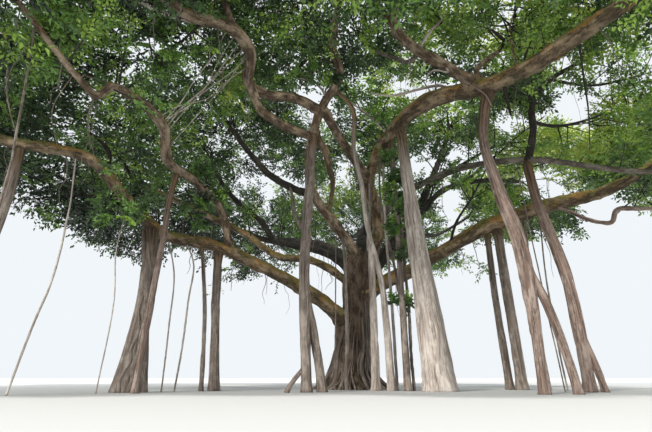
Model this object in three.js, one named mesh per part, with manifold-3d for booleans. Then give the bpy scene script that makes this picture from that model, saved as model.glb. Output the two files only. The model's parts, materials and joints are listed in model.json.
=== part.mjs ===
// A banyan tree: a fluted trunk that forks low, long crooked boughs, prop roots that have come down
// from the boughs to the ground, and a wide crown in separate masses of foliage.
// Places and radii in the tables are in metres, and the model is built in millimetres, +Z up.
// The origin is the middle of the flat cut under the trunk, at ground level.

import * as THREE from "three";
import { mergeVertices } from "three/addons/utils/BufferGeometryUtils.js";
import Module from "manifold-3d";

const MM = 1000; // millimetres in a metre
const GAP = 0.3; // millimetres between pieces that touch
const WELD = 1e-3; // millimetres within which corners are one
const ROUND_SIDES = 7; // sides of a bough or a stout prop root
const SLIM_SIDES = 5; // sides of a limb thinner than SLIM_RADIUS
const SLIM_RADIUS = 0.09;
const RING_STEP = 1.05; // metres between the rings of a limb
const COLLAR = 0.3; // how much wider a limb is where it leaves its parent
const COLLAR_REACH = 2.5; // how far the collar fades, in radii
const FOOT_FLARE = 0.45; // how much wider a prop root is where it meets the ground
const FOOT_REACH = 0.35; // metres over which that flare fades
const BURIED = 0.4; // metres a root is built below ground before the ground cuts it flat
const GROUND_BLOCK = [60 * MM, 60 * MM, 2 * MM];
const SAMPLE_STEP = 0.15; // metres between the points at which foliage is kept clear of a limb

const BARK_PALE = { color: 0x9b9084, roughness: 0.86 };
const BARK_BROWN = { color: 0x6f5d4b, roughness: 0.88 };
const BARK_MOSSY = { color: 0x7d6f43, roughness: 0.9 };
const LEAF_GREEN = { color: 0x3f6b2a, roughness: 0.55 };

// The trunk's body is a stack of rings, and each buttress is a root that runs down it and out.
const TRUNK = {
  axis: [[-0.08, 0, 0], [0.06, 0, 1], [0.14, 0, 2], [0.22, 0, 2.9]],
  rings: [0, 0.15, 0.4, 0.8, 1.4, 2.2, 2.9],
  waist: 0.5, // radius above the flare
  taper: 0.25, // how much of that is gone at the top
  flare: 0.5, // how much wider the foot is
  flareReach: 0.6, // metres over which the flare fades
  lobes: 8,
  lobeDepth: 0.08,
  sides: 16,
};
const BUTTRESSES = [
  { turn: 10, top: 2.2, reach: 1.15 },
  { turn: 55, top: 1.5, reach: 1.1 },
  { turn: 105, top: 2, reach: 1.25 },
  { turn: 160, top: 1.7, reach: 1.2 },
  { turn: 203, top: 2.4, reach: 1.35 },
  { turn: 246, top: 1.4, reach: 1.2 },
  { turn: 283, top: 2.3, reach: 1.15 },
  { turn: 325, top: 1.9, reach: 1.2 },
];
const BUTTRESS_RADIUS = [0.1, 0.13];
const BUTTRESS_INSET = 0.05; // metres its axis lies inside the trunk's surface
const BUTTRESS_BENDS = [1, 0.55, 0.2]; // shares of its top's height at which its axis has a place

// The stems that the trunk forks into. They are part of the trunk's own solid.
const STEMS = {
  left: { via: [[0.02, -0.03, 1.9], [0.06, -0.15, 3.3], [0.1, -0.5, 4.3]], radius: [0.3, 0.3, 0.24] },
  right: { via: [[0.28, 0.05, 1.9], [0.55, 0.1, 3.5], [0.98, -0.15, 5]], radius: [0.3, 0.29, 0.22] },
  rear: { via: [[0.12, 0.15, 1.9], [0.24, 0.55, 3.5], [0.5, 1.1, 4.8]], radius: [0.3, 0.3, 0.25] },
};

// Each bough leaves its parent at a share of that parent's length, passes the places in via, and
// tapers through the radii. A bough that ends on another says where with to. One that bends round a
// wide gap is in two pieces, which meet at the share that bend gives.
const BOUGHS = {
  left_low: {
    on: ["core", 0.66],
    via: [[-1.1, -0.6, 2.8], [-3.1, -1.6, 3.72], [-4.2, -2.2, 4.1], [-5.3, -3.1, 4.15],
      [-5.9, -4.4, 4.65], [-6.5, -5.7, 5.3], [-8, -6.6, 5.35], [-9.4, -6.7, 5.8]],
    radius: [0.26, 0.19, 0.16, 0.135, 0.1],
    bend: 0.5,
    bark: BARK_MOSSY,
  },
  left_arch: {
    on: ["left_low", 0.365],
    via: [[-3.81, -2.05, 4.57], [-4.02, -2.35, 5.2], [-4.42, -3.4, 5.56], [-4.86, -4.75, 5.66],
      [-4.75, -5.7, 6.15], [-5.15, -6.8, 6.33], [-5.38, -7.2, 6.28], [-5.5, -7.6, 5.83],
      [-5.7, -8.1, 5.98], [-6.5, -9, 6.96]],
    radius: [0.12, 0.105, 0.11, 0.13, 0.105, 0.065, 0.05],
    bend: 0.5,
    bark: BARK_BROWN,
  },
  left_moss: {
    on: ["core", 0.95],
    via: [[-0.23, 0.1, 3.5], [-1.28, 0.3, 4.17], [-1.78, 0.45, 4.28], [-2.5, 0.8, 4.45],
      [-3.9, 1.4, 5.5], [-5.4, 1.2, 6.2], [-7.4, 0.3, 6.95]],
    radius: [0.15, 0.115, 0.12, 0.11, 0.08],
    bark: BARK_MOSSY,
  },
  left_back: {
    on: ["left", 0.72],
    via: [[-0.8, 0.6, 4.5], [-2.2, 1.3, 5], [-3.5, 2, 5.5], [-5, 2.9, 6.3], [-6.9, 4, 7.2]],
    radius: [0.13, 0.11, 0.09, 0.06],
    bark: BARK_BROWN,
  },
  left_rise: {
    on: ["left_back", 0.42],
    via: [[-3.35, 1.85, 6.1], [-4.2, 2.3, 6.9], [-4.9, 2.6, 7.7], [-5.5, 2.8, 8.7]],
    radius: [0.12, 0.1, 0.07],
    bark: BARK_BROWN,
  },
  centre: {
    on: ["left", 1],
    via: [[-0.64, -1.45, 5.1], [-1.2, -2.4, 5.75], [-1.28, -3.2, 6.7], [-0.9, -3.9, 7.7],
      [-0.4, -4.4, 8.5], [-0.6, -4.9, 9.05], [-0.45, -5.9, 9.9]],
    radius: [0.21, 0.15, 0.135, 0.13, 0.12, 0.115, 0.08],
    bark: BARK_BROWN,
  },
  left_far: {
    on: ["centre", 0.3],
    via: [[-1.6, -2, 5.85], [-2.6, -1.8, 6.5], [-3.4, -1.9, 7.4], [-4.4, -2.7, 8.6]],
    radius: [0.13, 0.11, 0.08, 0.06],
    bark: BARK_BROWN,
  },
  right_high: {
    on: ["right", 1],
    via: [[0.85, -0.55, 5.9], [0.62, -1, 6.6], [0.85, -1.5, 7.25], [1.5, -2.6, 7.9], [2.2, -3.7, 8.05],
      [3.1, -4.8, 7.7], [3.9, -6, 7.4], [4.7, -7.3, 7.45], [5.9, -9, 7.9]],
    radius: [0.2, 0.19, 0.21, 0.24, 0.21, 0.185, 0.15],
    bend: 0.37,
    bark: BARK_BROWN,
  },
  bridge: {
    on: ["right_high", 0.16],
    via: [[0.1, -1.9, 6.95], [-0.5, -3, 7.45]],
    to: ["centre", 0.62],
    radius: [0.15, 0.13, 0.13],
    bark: BARK_BROWN,
  },
  left_high: {
    on: ["centre", 0.61],
    via: [[-1.6, -4.2, 7.8], [-2.4, -4.7, 7.65], [-2.82, -5.15, 7.7], [-2.75, -5.8, 8.2], [-3.05, -6.4, 8.4],
      [-3.9, -7.3, 8.1], [-4.8, -8.6, 8.1]],
    radius: [0.14, 0.13, 0.15, 0.13, 0.08],
    bend: 0.36,
    bark: BARK_BROWN,
  },
  left_brace: {
    on: ["centre", 0.52],
    via: [[-2.1, -4.1, 7.1], [-2.6, -4.7, 7.25]],
    to: ["left_high", 0.37],
    radius: [0.12, 0.11],
    bark: BARK_BROWN,
  },
  right_fork: {
    on: ["right_high", 0.6],
    via: [[2.5, -4.95, 8.3], [1.6, -5.35, 8.65], [0.95, -5.9, 9], [1.2, -7.1, 9.5]],
    radius: [0.16, 0.15, 0.12, 0.07],
    bark: BARK_BROWN,
  },
  right_spur: {
    on: ["right_high", 0.62],
    via: [[3.4, -4.6, 8.5], [4.3, -4.3, 9.4]],
    radius: [0.09, 0.06],
    bark: BARK_BROWN,
  },
  right_mid: {
    on: ["right_high", 0.04],
    via: [[1.8, -0.4, 6.3], [3.3, -1.7, 6.7], [5, -3.4, 6.3], [6.7, -5, 5.3], [8.2, -6, 4.8]],
    radius: [0.14, 0.1, 0.08, 0.05],
    bark: BARK_PALE,
  },
  right_low: {
    on: ["core", 0.9],
    via: [[1.2, 0.2, 3.4], [2.2, 0.1, 3.9], [3.3, -0.2, 4.5], [4.5, -0.8, 5.05], [6.2, -1.9, 5.45],
      [7.2, -2.7, 5.5], [8, -3.3, 5.8], [9.5, -3.2, 6.9]],
    radius: [0.27, 0.22, 0.25, 0.17, 0.08],
    bark: BARK_MOSSY,
  },
  right_rise: {
    on: ["right", 0.45],
    via: [[1.5, 0.4, 4.7], [2.3, 0.55, 5.6], [2.9, 0.7, 6.8], [3.5, 0.95, 8.2], [4.1, 1.3, 9.7]],
    radius: [0.19, 0.16, 0.12, 0.07],
    bark: BARK_BROWN,
  },
  right_back: {
    on: ["right_rise", 0.4],
    via: [[3.4, 1, 6.9], [4.4, 1.5, 7.5], [5.8, 2.1, 7.9], [7.3, 3, 8.2]],
    radius: [0.11, 0.1, 0.07],
    bark: BARK_BROWN,
  },
  rear_left: {
    on: ["rear", 0.55],
    via: [[-0.5, 2, 5], [-1.6, 3.6, 5.7], [-2.6, 5.4, 6.3], [-3.6, 7.4, 6.9]],
    radius: [0.22, 0.16, 0.12, 0.07],
    bark: BARK_BROWN,
  },
  rear_right: {
    on: ["rear", 0.7],
    via: [[1.4, 2.2, 5], [2.5, 3.8, 5.9], [3.6, 5.4, 6.5], [4.6, 7, 7]],
    radius: [0.22, 0.16, 0.12, 0.07],
    bark: BARK_BROWN,
  },
  rear_middle: {
    on: ["rear", 1],
    via: [[0.6, 2.2, 5.6], [0.85, 4, 6.35], [0.7, 6.2, 6.8], [0.7, 8.4, 7.3]],
    radius: [0.22, 0.16, 0.12, 0.07],
    bark: BARK_BROWN,
  },
  rear_top: {
    on: ["rear_middle", 0.12],
    via: [[0.98, 1.85, 6.1], [1.15, 2.2, 7.2], [0.95, 2.8, 8.4], [0.5, 3.4, 9.6]],
    radius: [0.18, 0.14, 0.1, 0.07],
    bark: BARK_BROWN,
  },
};

// A prop root hangs from a bough and stands on the ground at foot. Its legs are roots that have grown
// onto it: each leaves it at a share of its length and stands on a foot of its own.
const PROPS = {
  prop_centre: {
    on: ["centre", 0.54],
    via: [[-1.3, -3.55, 4.9], [-1.37, -3.52, 3.3], [-1.33, -3.52, 1.5]],
    foot: [-1.28, -3.55],
    radius: [0.1, 0.125, 0.13, 0.12],
    legs: [
      { at: 0.6, via: [[-1.13, -3.45, 1.5]], foot: [-0.9, -3.4], radius: [0.09, 0.11] },
      { at: 0.86, via: [], foot: [-1.75, -3.75], radius: [0.05, 0.06] },
    ],
  },
  prop_right_pale: {
    on: ["right_high", 0.345],
    via: [[1.68, -2.72, 5.4], [1.86, -2.8, 3.2]],
    foot: [2.16, -2.85],
    radius: [0.13, 0.17, 0.26, 0.32, 0.33],
    legs: [
      { at: 0.42, via: [[1.84, -2.9, 2.6]], foot: [1.86, -2.95], radius: [0.14, 0.15] },
      { at: 0.36, via: [[2.08, -2.75, 2.8]], foot: [2.46, -2.68], radius: [0.14, 0.17] },
    ],
  },
  prop_right_fork: {
    on: ["right_high", 0.625],
    via: [[3.2, -5.1, 6.2], [3.45, -5.1, 4.7], [3.8, -5.1, 3.3]],
    foot: [3.92, -5.1],
    radius: [0.15, 0.11, 0.15, 0.18, 0.11, 0.105],
    legs: [{ at: 0.6, via: [[4.22, -5.1, 2]], foot: [4.65, -5.12], radius: [0.1, 0.09] }],
  },
  prop_right_far: {
    on: ["right_mid", 0.56],
    via: [[5.1, -3.42, 5], [5.6, -3.42, 2.9]],
    foot: [5.76, -3.42],
    radius: [0.12, 0.15, 0.13],
    legs: [{ at: 0.7, via: [], foot: [6.1, -3.5], radius: [0.08, 0.08] }],
  },
  prop_pair: {
    on: ["centre", 0.7],
    via: [[0, -3.5, 7.85], [0.05, -2.7, 7], [0.3, -2.3, 5.9], [0.45, -2.2, 4.6], [0.8, -2.2, 3]],
    foot: [0.98, -2.2],
    radius: [0.065, 0.065, 0.07, 0.085, 0.1],
    legs: [{ at: 0.52, via: [[0.56, -2.05, 2.4]], foot: [0.58, -2], radius: [0.09, 0.12] }],
  },
  prop_right_slim_near: {
    on: ["right_low", 0.45],
    via: [[4.6, -0.65, 2.6]],
    foot: [4.75, -0.65],
    radius: [0.09, 0.11],
    legs: [],
  },
  prop_right_slim_far: {
    on: ["right_low", 0.48],
    via: [[4.87, -0.95, 2.9]],
    foot: [5, -0.97],
    radius: [0.13, 0.15],
    legs: [],
  },
  prop_left_slim: {
    on: ["left_low", 0.39],
    via: [[-3.95, -2.2, 2.2]],
    foot: [-3.85, -2.2],
    radius: [0.13, 0.11, 0.14],
    legs: [],
  },
  prop_left_thin: {
    on: ["left_low", 0.43],
    via: [[-4.2, -2.4, 2]],
    foot: [-4.15, -2.4],
    radius: [0.05, 0.06],
    legs: [],
  },
  prop_left_thick: {
    on: ["left_low", 0.56],
    via: [[-5.45, -3.62, 2.4]],
    foot: [-5.72, -3.62],
    radius: [0.19, 0.22, 0.28],
    legs: [{ at: 0.45, via: [], foot: [-5.38, -3.5], radius: [0.12, 0.14] }],
  },
  prop_left_lean: {
    on: ["left_arch", 0.37],
    via: [[-4.93, -4.2, 4.7], [-4.96, -4.2, 3.95], [-5.07, -4.25, 2.4]],
    foot: [-5.22, -4.3],
    radius: [0.075, 0.07, 0.085],
    legs: [],
  },
  prop_left_edge: {
    on: ["left_low", 0.855],
    via: [[-7.75, -6.3, 4], [-7.95, -6.4, 2.4]],
    foot: [-8.1, -6.45],
    radius: [0.09, 0.095, 0.12],
    legs: [],
  },
  root_hanging_long: {
    on: ["right_high", 0.265],
    via: [[1.02, -1.9, 5], [1.12, -1.9, 2.5]],
    foot: [1.18, -1.9],
    radius: [0.035, 0.045],
    legs: [],
  },
  root_hanging_leafy: {
    on: ["right_high", 0.305],
    via: [[1.34, -2.24, 4.6]],
    foot: [1.42, -2.25],
    radius: [0.07, 0.09],
    legs: [],
  },
  prop_rear: {
    on: ["rear_middle", 0.5],
    via: [[0.86, 5, 3.2]],
    foot: [0.95, 5.1],
    radius: [0.12, 0.13, 0.16],
    legs: [],
  },
};

// Each mass of foliage fills an oval space round a centre, at the tip of one bough. Where two spaces
// meet, each keeps to the side nearer its own centre.
const MASSES = {
  left_low: { centre: [-11, -6.2, 7], size: [3.2, 3.2, 2.2] },
  left_arch: { centre: [-8.2, -9.3, 8.1], size: [3.1, 2.7, 2.1] },
  left_high: { centre: [-4, -10, 9.3], size: [3, 2.6, 2.1] },
  left_far: { centre: [-5.7, -4.1, 10], size: [3.4, 3.4, 2.3] },
  left_moss: { centre: [-9.6, -0.8, 7.9], size: [3.5, 3.4, 2.4] },
  left_back: { centre: [-9.2, 5.2, 8.2], size: [3.3, 3.3, 2.4] },
  left_rise: { centre: [-5.4, 2, 10.6], size: [3.3, 3.3, 2.3] },
  centre: { centre: [-1.2, -4.9, 11.3], size: [3.4, 3.3, 2.2] },
  right_fork: { centre: [0.8, -9.3, 10], size: [3, 2.7, 2.1] },
  right_high: { centre: [6.4, -9.8, 9], size: [3.1, 2.7, 2.1] },
  right_spur: { centre: [5.3, -4.6, 10.6], size: [3.4, 3.2, 2.2] },
  right_mid: { centre: [10, -7, 6.1], size: [3, 2.9, 2.1] },
  right_low: { centre: [11.4, -2, 8], size: [3.2, 3.4, 2.4] },
  right_rise: { centre: [4.4, 1.1, 11.5], size: [3.5, 3.5, 2.1] },
  right_back: { centre: [9.6, 4.4, 8.7], size: [3.4, 3.4, 2.4] },
  rear_right: { centre: [6.4, 9, 8.1], size: [3.4, 3.1, 2.4] },
  rear_middle: { centre: [0.8, 10.7, 8.4], size: [3.3, 2.9, 2.4] },
  rear_left: { centre: [-5.1, 9.5, 8.1], size: [3.4, 3.1, 2.4] },
  rear_top: { centre: [-0.5, 4.7, 11.4], size: [3.5, 3.4, 2.1] },
};
const SPRAY = { length: 2.7, width: 1.8, thick: 0.06, cup: 0.16 }; // metres, each stands for many leaves
const SPRAY_MIDDLE = 0.45; // the share of a spray's length at which it is widest
const STRAY = 0.7; // how far a spray's aim strays to each side of straight outwards
const DROOP = [0.15, 0.45]; // how far it points down, least and most
const SPRAYS_PER_MASS = 10;
const SPACE_MARGIN = 0.05; // how much nearer its own centre a point has to be, in sizes of the space
const HOLLOW = 0.3; // the sprays fill the space from this share of its size outwards
const HUB = 0.5; // sprays point away from a place this far from the stem to the centre
const GOLDEN = [0.8191725134, 0.6710436067, 0.5497004779]; // steps that spread places evenly in a box
const SEED_STEP = 0.37; // how far the next mass's places start along the sequence
const MOST_TRIES = 1500;
const TWIG_TIP = 0.02; // radius in metres
const TWIG_GROWTH = 0.5; // a twig's radius grows with this power of the sprays that it bears
const TWIG_SIDES = 3;
const MIDRIB = 0.25; // metres that a twig's end runs on in its spray
const STEM_LENGTH = 0.3; // metres from the bough's tip to the first fork
const DETOUR = 0.35; // how much the length back to the stem counts when a twig picks where to leave
const CLEAR = 0.1; // metres kept between foliage and a limb

const wasm = await Module();
wasm.setup();

const point = ([x, y, z]) => new THREE.Vector3(x, y, z);
const UP = point([0, 0, 1]);
const SIDEWAYS = point([1, 0, 0]);
const smooth = (points) => new THREE.CatmullRomCurve3(points, false, "centripetal");

// A radius that runs evenly through a short list of radii as share goes from 0 to 1.
function along(radii, share) {
  const place = Math.min(share, 1) * (radii.length - 1);
  const low = Math.min(Math.floor(place), radii.length - 2);
  return THREE.MathUtils.lerp(radii[low], radii[low + 1], place - low);
}

function toSolid(geometry) {
  geometry.deleteAttribute("normal");
  geometry.deleteAttribute("uv");
  const merged = mergeVertices(geometry, WELD);
  const mesh = new wasm.Mesh({
    numProp: 3,
    vertProperties: merged.attributes.position.array,
    triVerts: new Uint32Array(merged.index.array),
  });
  return new wasm.Manifold(mesh);
}

function toGeometry(solid) {
  const mesh = solid.getMesh();
  return new THREE.BufferGeometry()
    .setAttribute("position", new THREE.BufferAttribute(mesh.vertProperties, 3))
    .setIndex(new THREE.BufferAttribute(mesh.triVerts, 1))
    .toNonIndexed();
}

// A solid from the corners of its triangles, in metres and three by three.
function solidOfCorners(corners) {
  const values = corners.flatMap((p) => [p.x * MM, p.y * MM, p.z * MM]);
  const position = new THREE.Float32BufferAttribute(values, 3);
  return toSolid(new THREE.BufferGeometry().setAttribute("position", position));
}

// A solid through rings of equally many points, closed with a flat fan at each end.
function loft(rings) {
  const sides = rings[0].length;
  const corners = [];
  for (let i = 0; i + 1 < rings.length; i++)
    for (let k = 0; k < sides; k++) {
      const next = (k + 1) % sides;
      corners.push(rings[i][k], rings[i][next], rings[i + 1][next]);
      corners.push(rings[i][k], rings[i + 1][next], rings[i + 1][k]);
    }
  const last = rings.at(-1);
  for (let k = 1; k + 1 < sides; k++) {
    corners.push(rings[0][0], rings[0][k + 1], rings[0][k]);
    corners.push(last[0], last[k], last[k + 1]);
  }
  return solidOfCorners(corners);
}

// Rings of corners round a line of places, without a twist from one ring to the next. ways are the
// directions in which the line passes the places.
function ringsRound(places, ways, radii, sides) {
  let across = ways[0].clone().cross(Math.abs(ways[0].z) < 0.9 ? UP : SIDEWAYS);
  return places.map((place, i) => {
    across = across.clone().projectOnPlane(ways[i]).normalize();
    const upright = ways[i].clone().cross(across);
    return Array.from({ length: sides }, (_, k) => {
      const turn = (2 * Math.PI * k) / sides;
      return place.clone()
        .addScaledVector(across, radii[i] * Math.cos(turn))
        .addScaledVector(upright, radii[i] * Math.sin(turn));
    });
  });
}

// A tapering tube round a stretch of a curve. radiusAt gives the radius in metres at a share of the
// curve, and grow makes the whole tube that many millimetres larger, its ends included.
function tube(curve, radiusAt, { from = 0, to = 1, sides = ROUND_SIDES, grow = 0 } = {}) {
  const steps = Math.max(2, Math.ceil((curve.getLength() * (to - from)) / RING_STEP));
  const swell = grow / MM / Math.cos(Math.PI / sides);
  const shares = Array.from({ length: steps + 1 }, (_, i) => THREE.MathUtils.lerp(from, to, i / steps));
  const ways = shares.map((share) => curve.getTangentAt(share));
  const places = shares.map((share) => curve.getPointAt(share));
  places[0].addScaledVector(ways[0], -grow / MM);
  places[steps].addScaledVector(ways[steps], grow / MM);
  return loft(ringsRound(places, ways, shares.map((share) => radiusAt(share) + swell), sides));
}

const sidesFor = (radii) => (Math.max(...radii) < SLIM_RADIUS ? SLIM_SIDES : ROUND_SIDES);

// A bough's radius swells into a collar where it leaves its parent.
function boughRadius(curve, radii) {
  const reach = COLLAR_REACH * radii[0];
  const length = curve.getLength();
  return (share) => along(radii, share) * (1 + COLLAR * Math.exp((-share * length) / reach));
}

// A prop root's radius swells into a foot at the ground.
function rootRadius(curve, radii) {
  return (share) => {
    const height = Math.max(0, curve.getPointAt(share).z);
    return along(radii, share) * (1 + FOOT_FLARE * Math.exp(-height / FOOT_REACH));
  };
}

const union = (solids) => solids.reduce((all, one) => all.add(one));

const ground = toSolid(
  new THREE.BoxGeometry(...GROUND_BLOCK).toNonIndexed().translate(0, 0, -GROUND_BLOCK[2] / 2),
);

// The largest body of a solid, so that loose scraps of a cut are dropped and sealed hollows filled.
function whole(solid) {
  const bodies = solid.decompose();
  return bodies.reduce((best, one) => (one.volume() > best.volume() ? one : best));
}

// The same solid as a mesh holds it, with its corners merged and in 32 bits, which can part it again.
function settled(solid) {
  let now = whole(solid);
  for (;;) {
    const next = whole(toSolid(toGeometry(now)));
    if (next.numTri() === now.numTri()) return next;
    now = next;
  }
}

// Whether each edge of a solid's merged mesh lies between just two faces.
function edgesPair(solid) {
  const index = mergeVertices(toGeometry(solid), WELD).index.array;
  const faces = new Map();
  index.forEach((corner, i) => {
    const next = index[i % 3 === 2 ? i - 2 : i + 1];
    const edge = [Math.min(corner, next), Math.max(corner, next)].join();
    faces.set(edge, (faces.get(edge) ?? 0) + 1);
  });
  return [...faces.values()].every((count) => count === 2);
}

const curves = { core: smooth(TRUNK.axis.map(point)) };
for (const [name, stem] of Object.entries(STEMS)) curves[name] = smooth(stem.via.map(point));

// The radius of the trunk's body at a height and a turn round it.
function trunkRadius(height, turn) {
  const flare = TRUNK.flare * Math.exp(-height / TRUNK.flareReach);
  const taper = TRUNK.taper * (height / TRUNK.rings.at(-1)) ** 2;
  const lobe = TRUNK.lobeDepth * Math.cos(TRUNK.lobes * turn + height);
  return TRUNK.waist * (1 + flare + lobe - taper);
}

function trunkBody(grow) {
  const top = TRUNK.rings.at(-1);
  const swell = grow / MM / Math.cos(Math.PI / TRUNK.sides);
  return loft(TRUNK.rings.map((height) => {
    const middle = curves.core.getPointAt(height / top);
    return Array.from({ length: TRUNK.sides }, (_, k) => {
      const turn = (2 * Math.PI * k) / TRUNK.sides;
      const radius = trunkRadius(height, turn) + swell;
      const above = height === top ? grow / MM : 0;
      return new THREE.Vector3(
        middle.x + radius * Math.cos(turn),
        middle.y + radius * Math.sin(turn),
        height + above,
      );
    });
  }));
}

// A buttress starts inside the trunk's surface and curves out and down past ground level.
function buttress({ turn, top, reach }, grow) {
  const angle = THREE.MathUtils.degToRad(turn);
  const outwards = new THREE.Vector3(Math.cos(angle), Math.sin(angle), 0);
  const spot = (radius, height) => outwards.clone().multiplyScalar(radius).setZ(height);
  const inside = (height) => spot(trunkRadius(height, angle) - BUTTRESS_INSET, height);
  const down = BUTTRESS_BENDS.map((share) => inside(top * share));
  const curve = smooth([...down, spot(reach, -BUTTRESS_RADIUS[1])]);
  return tube(curve, (share) => along(BUTTRESS_RADIUS, share), { sides: SLIM_SIDES, grow });
}

function trunk(grow = 0) {
  const stems = Object.entries(STEMS).map(([name, { radius }]) =>
    tube(curves[name], (share) => along(radius, share), { grow }));
  const roots = BUTTRESSES.map((one) => buttress(one, grow));
  return whole(union([trunkBody(grow), ...stems, ...roots]).subtract(ground));
}

// The curve of a bough: it starts on its parent's axis, and ends on another's where to says so.
function boughCurve({ on, via, to }) {
  const ends = to ? [curves[to[0]].getPointAt(to[1])] : [];
  return smooth([curves[on[0]].getPointAt(on[1]), ...via.map(point), ...ends]);
}

function boughPieces(name, { radius, bend }) {
  const curve = curves[name];
  const radiusAt = boughRadius(curve, radius);
  const sides = sidesFor(radius);
  const piece = (label, from, to) => ({
    name: label,
    make: (grow = 0) => tube(curve, radiusAt, { from, to, sides, grow }),
  });
  if (!bend) return [piece(`bough_${name}`, 0, 1)];
  const gap = GAP / MM / curve.getLength();
  return [piece(`bough_${name}_inner`, 0, bend), piece(`bough_${name}_outer`, bend + gap, 1)];
}

function rootCurve(start, via, foot) {
  return smooth([start, ...via.map(point), point([...foot, 0]), point([...foot, -BURIED])]);
}

// The curve and radii of a prop root, then those of the legs that have grown onto it.
function rootLines({ on, via, foot, radius, legs }) {
  const main = rootCurve(curves[on[0]].getPointAt(on[1]), via, foot);
  const side = legs.map((leg) => ({
    curve: rootCurve(main.getPointAt(leg.at), leg.via, leg.foot),
    radius: leg.radius,
  }));
  return [{ curve: main, radius }, ...side];
}

// A prop root with its legs, cut flat at the ground.
function propSolid(lines, grow) {
  const tubes = lines.map(({ curve, radius }) =>
    tube(curve, rootRadius(curve, radius), { sides: sidesFor(radius), grow }));
  return whole(union(tubes).subtract(ground));
}

// Points along every limb with its radius there, which foliage keeps clear of.
const limbSamples = [];

function sample(curve, radiusAt) {
  const count = Math.ceil(curve.getLength() / SAMPLE_STEP);
  for (let i = 0; i <= count; i++)
    limbSamples.push({ at: curve.getPointAt(i / count), radius: radiusAt(i / count) });
}

// A seeded stream of numbers from 0 to 1.
function seeded(seed) {
  const modulus = 2 ** 31 - 1;
  let state = (seed * 7919 + 12345) % modulus;
  return () => {
    state = (state * 16807) % modulus;
    return state / modulus;
  };
}

// The distance from a mass's centre, in sizes of its space: 1 is the edge of the oval.
const ovalDistance = ({ centre, size }, p) =>
  Math.hypot(...["x", "y", "z"].map((axis, i) => (p[axis] - centre[i]) / size[i]));

function inOwnSpace(name, p) {
  const own = ovalDistance(MASSES[name], p);
  if (own > 1) return false;
  return Object.keys(MASSES).every((other) =>
    other === name || ovalDistance(MASSES[other], p) > own + SPACE_MARGIN);
}

const isFree = (name, p, reach) =>
  inOwnSpace(name, p) && limbSamples.every(({ at, radius }) => at.distanceTo(p) > radius + reach + CLEAR);

const segmentFree = (name, a, b, reach) =>
  [0.2, 0.4, 0.6, 0.8, 1].every((share) => isFree(name, a.clone().lerp(b, share), reach));

// Spreads places evenly through a mass's space with a three-way golden sequence.
function* placesIn(name, seed) {
  const { centre, size } = MASSES[name];
  for (let i = 1; i < MOST_TRIES; i++) {
    const unit = GOLDEN.map((step) => 2 * ((seed * SEED_STEP + i * step) % 1) - 1);
    const far = Math.hypot(...unit);
    if (far < 1 && far > HOLLOW) yield point(unit.map((u, k) => centre[k] + u * size[k]));
  }
}

// A twig runs through a line of forks as one prism, with a ring at each fork.
function twigSolid(places, radii, way) {
  const ways = places.map((place, i) => (i === 0
    ? way
    : places[Math.min(i + 1, places.length - 1)].clone().sub(places[i - 1]).normalize()));
  return loft(ringsRound(places, ways, radii, TWIG_SIDES));
}

// A spray is a thin lens with a pointed outline: six corners and eight faces.
function sprayCorners(middle, { way, side, face }) {
  const { length, width, thick, cup } = SPRAY;
  return {
    base: middle.clone().addScaledVector(way, -length * SPRAY_MIDDLE),
    tip: middle.clone().addScaledVector(way, length * (1 - SPRAY_MIDDLE)),
    left: middle.clone().addScaledVector(side, width / 2),
    right: middle.clone().addScaledVector(side, -width / 2),
    top: middle.clone().addScaledVector(face, cup + thick / 2),
    under: middle.clone().addScaledVector(face, cup - thick / 2),
  };
}

function spraySolid({ base, tip, left, right, top, under }) {
  const faces = [
    [base, left, top], [left, tip, top], [tip, right, top], [right, base, top],
    [left, base, under], [tip, left, under], [right, tip, under], [base, right, under],
  ];
  return solidOfCorners(faces.flat());
}

// Which way a spray points: outwards from the mass and a little down.
function sprayAim(middle, hub, random) {
  const astray = () => STRAY * (random() - 0.5);
  const way = middle.clone().sub(hub).normalize()
    .add(new THREE.Vector3(astray(), astray(), -THREE.MathUtils.lerp(...DROOP, random())))
    .normalize();
  const up = new THREE.Vector3(astray(), astray(), 1);
  const side = new THREE.Vector3().crossVectors(way, up).normalize();
  return { way, side, face: new THREE.Vector3().crossVectors(side, way) };
}

// Whether points all over a spray lie in its mass's own space and clear of every limb.
function sprayFits(name, { base, tip, left, right }) {
  const shares = [0, 0.25, 0.5, 0.75, 1];
  return shares.every((across) => {
    const edge = left.clone().lerp(right, across);
    return shares.every((along) =>
      [base, tip].every((end) => isFree(name, edge.clone().lerp(end, along), SPRAY.thick)));
  });
}

// The sprays of one mass, spread through its space, none of them touching another.
function placeSprays(name, hub, seed) {
  const random = seeded(seed);
  const sprays = [];
  for (const middle of placesIn(name, seed)) {
    const aim = sprayAim(middle, hub, random);
    const corners = sprayCorners(middle, aim);
    if (!sprayFits(name, corners)) continue;
    const solid = spraySolid(corners);
    if (sprays.some((other) => !other.solid.intersect(solid).isEmpty())) continue;
    sprays.push({ root: corners.base, way: aim.way, solid });
    if (sprays.length === SPRAYS_PER_MASS) break;
  }
  return sprays;
}

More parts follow.
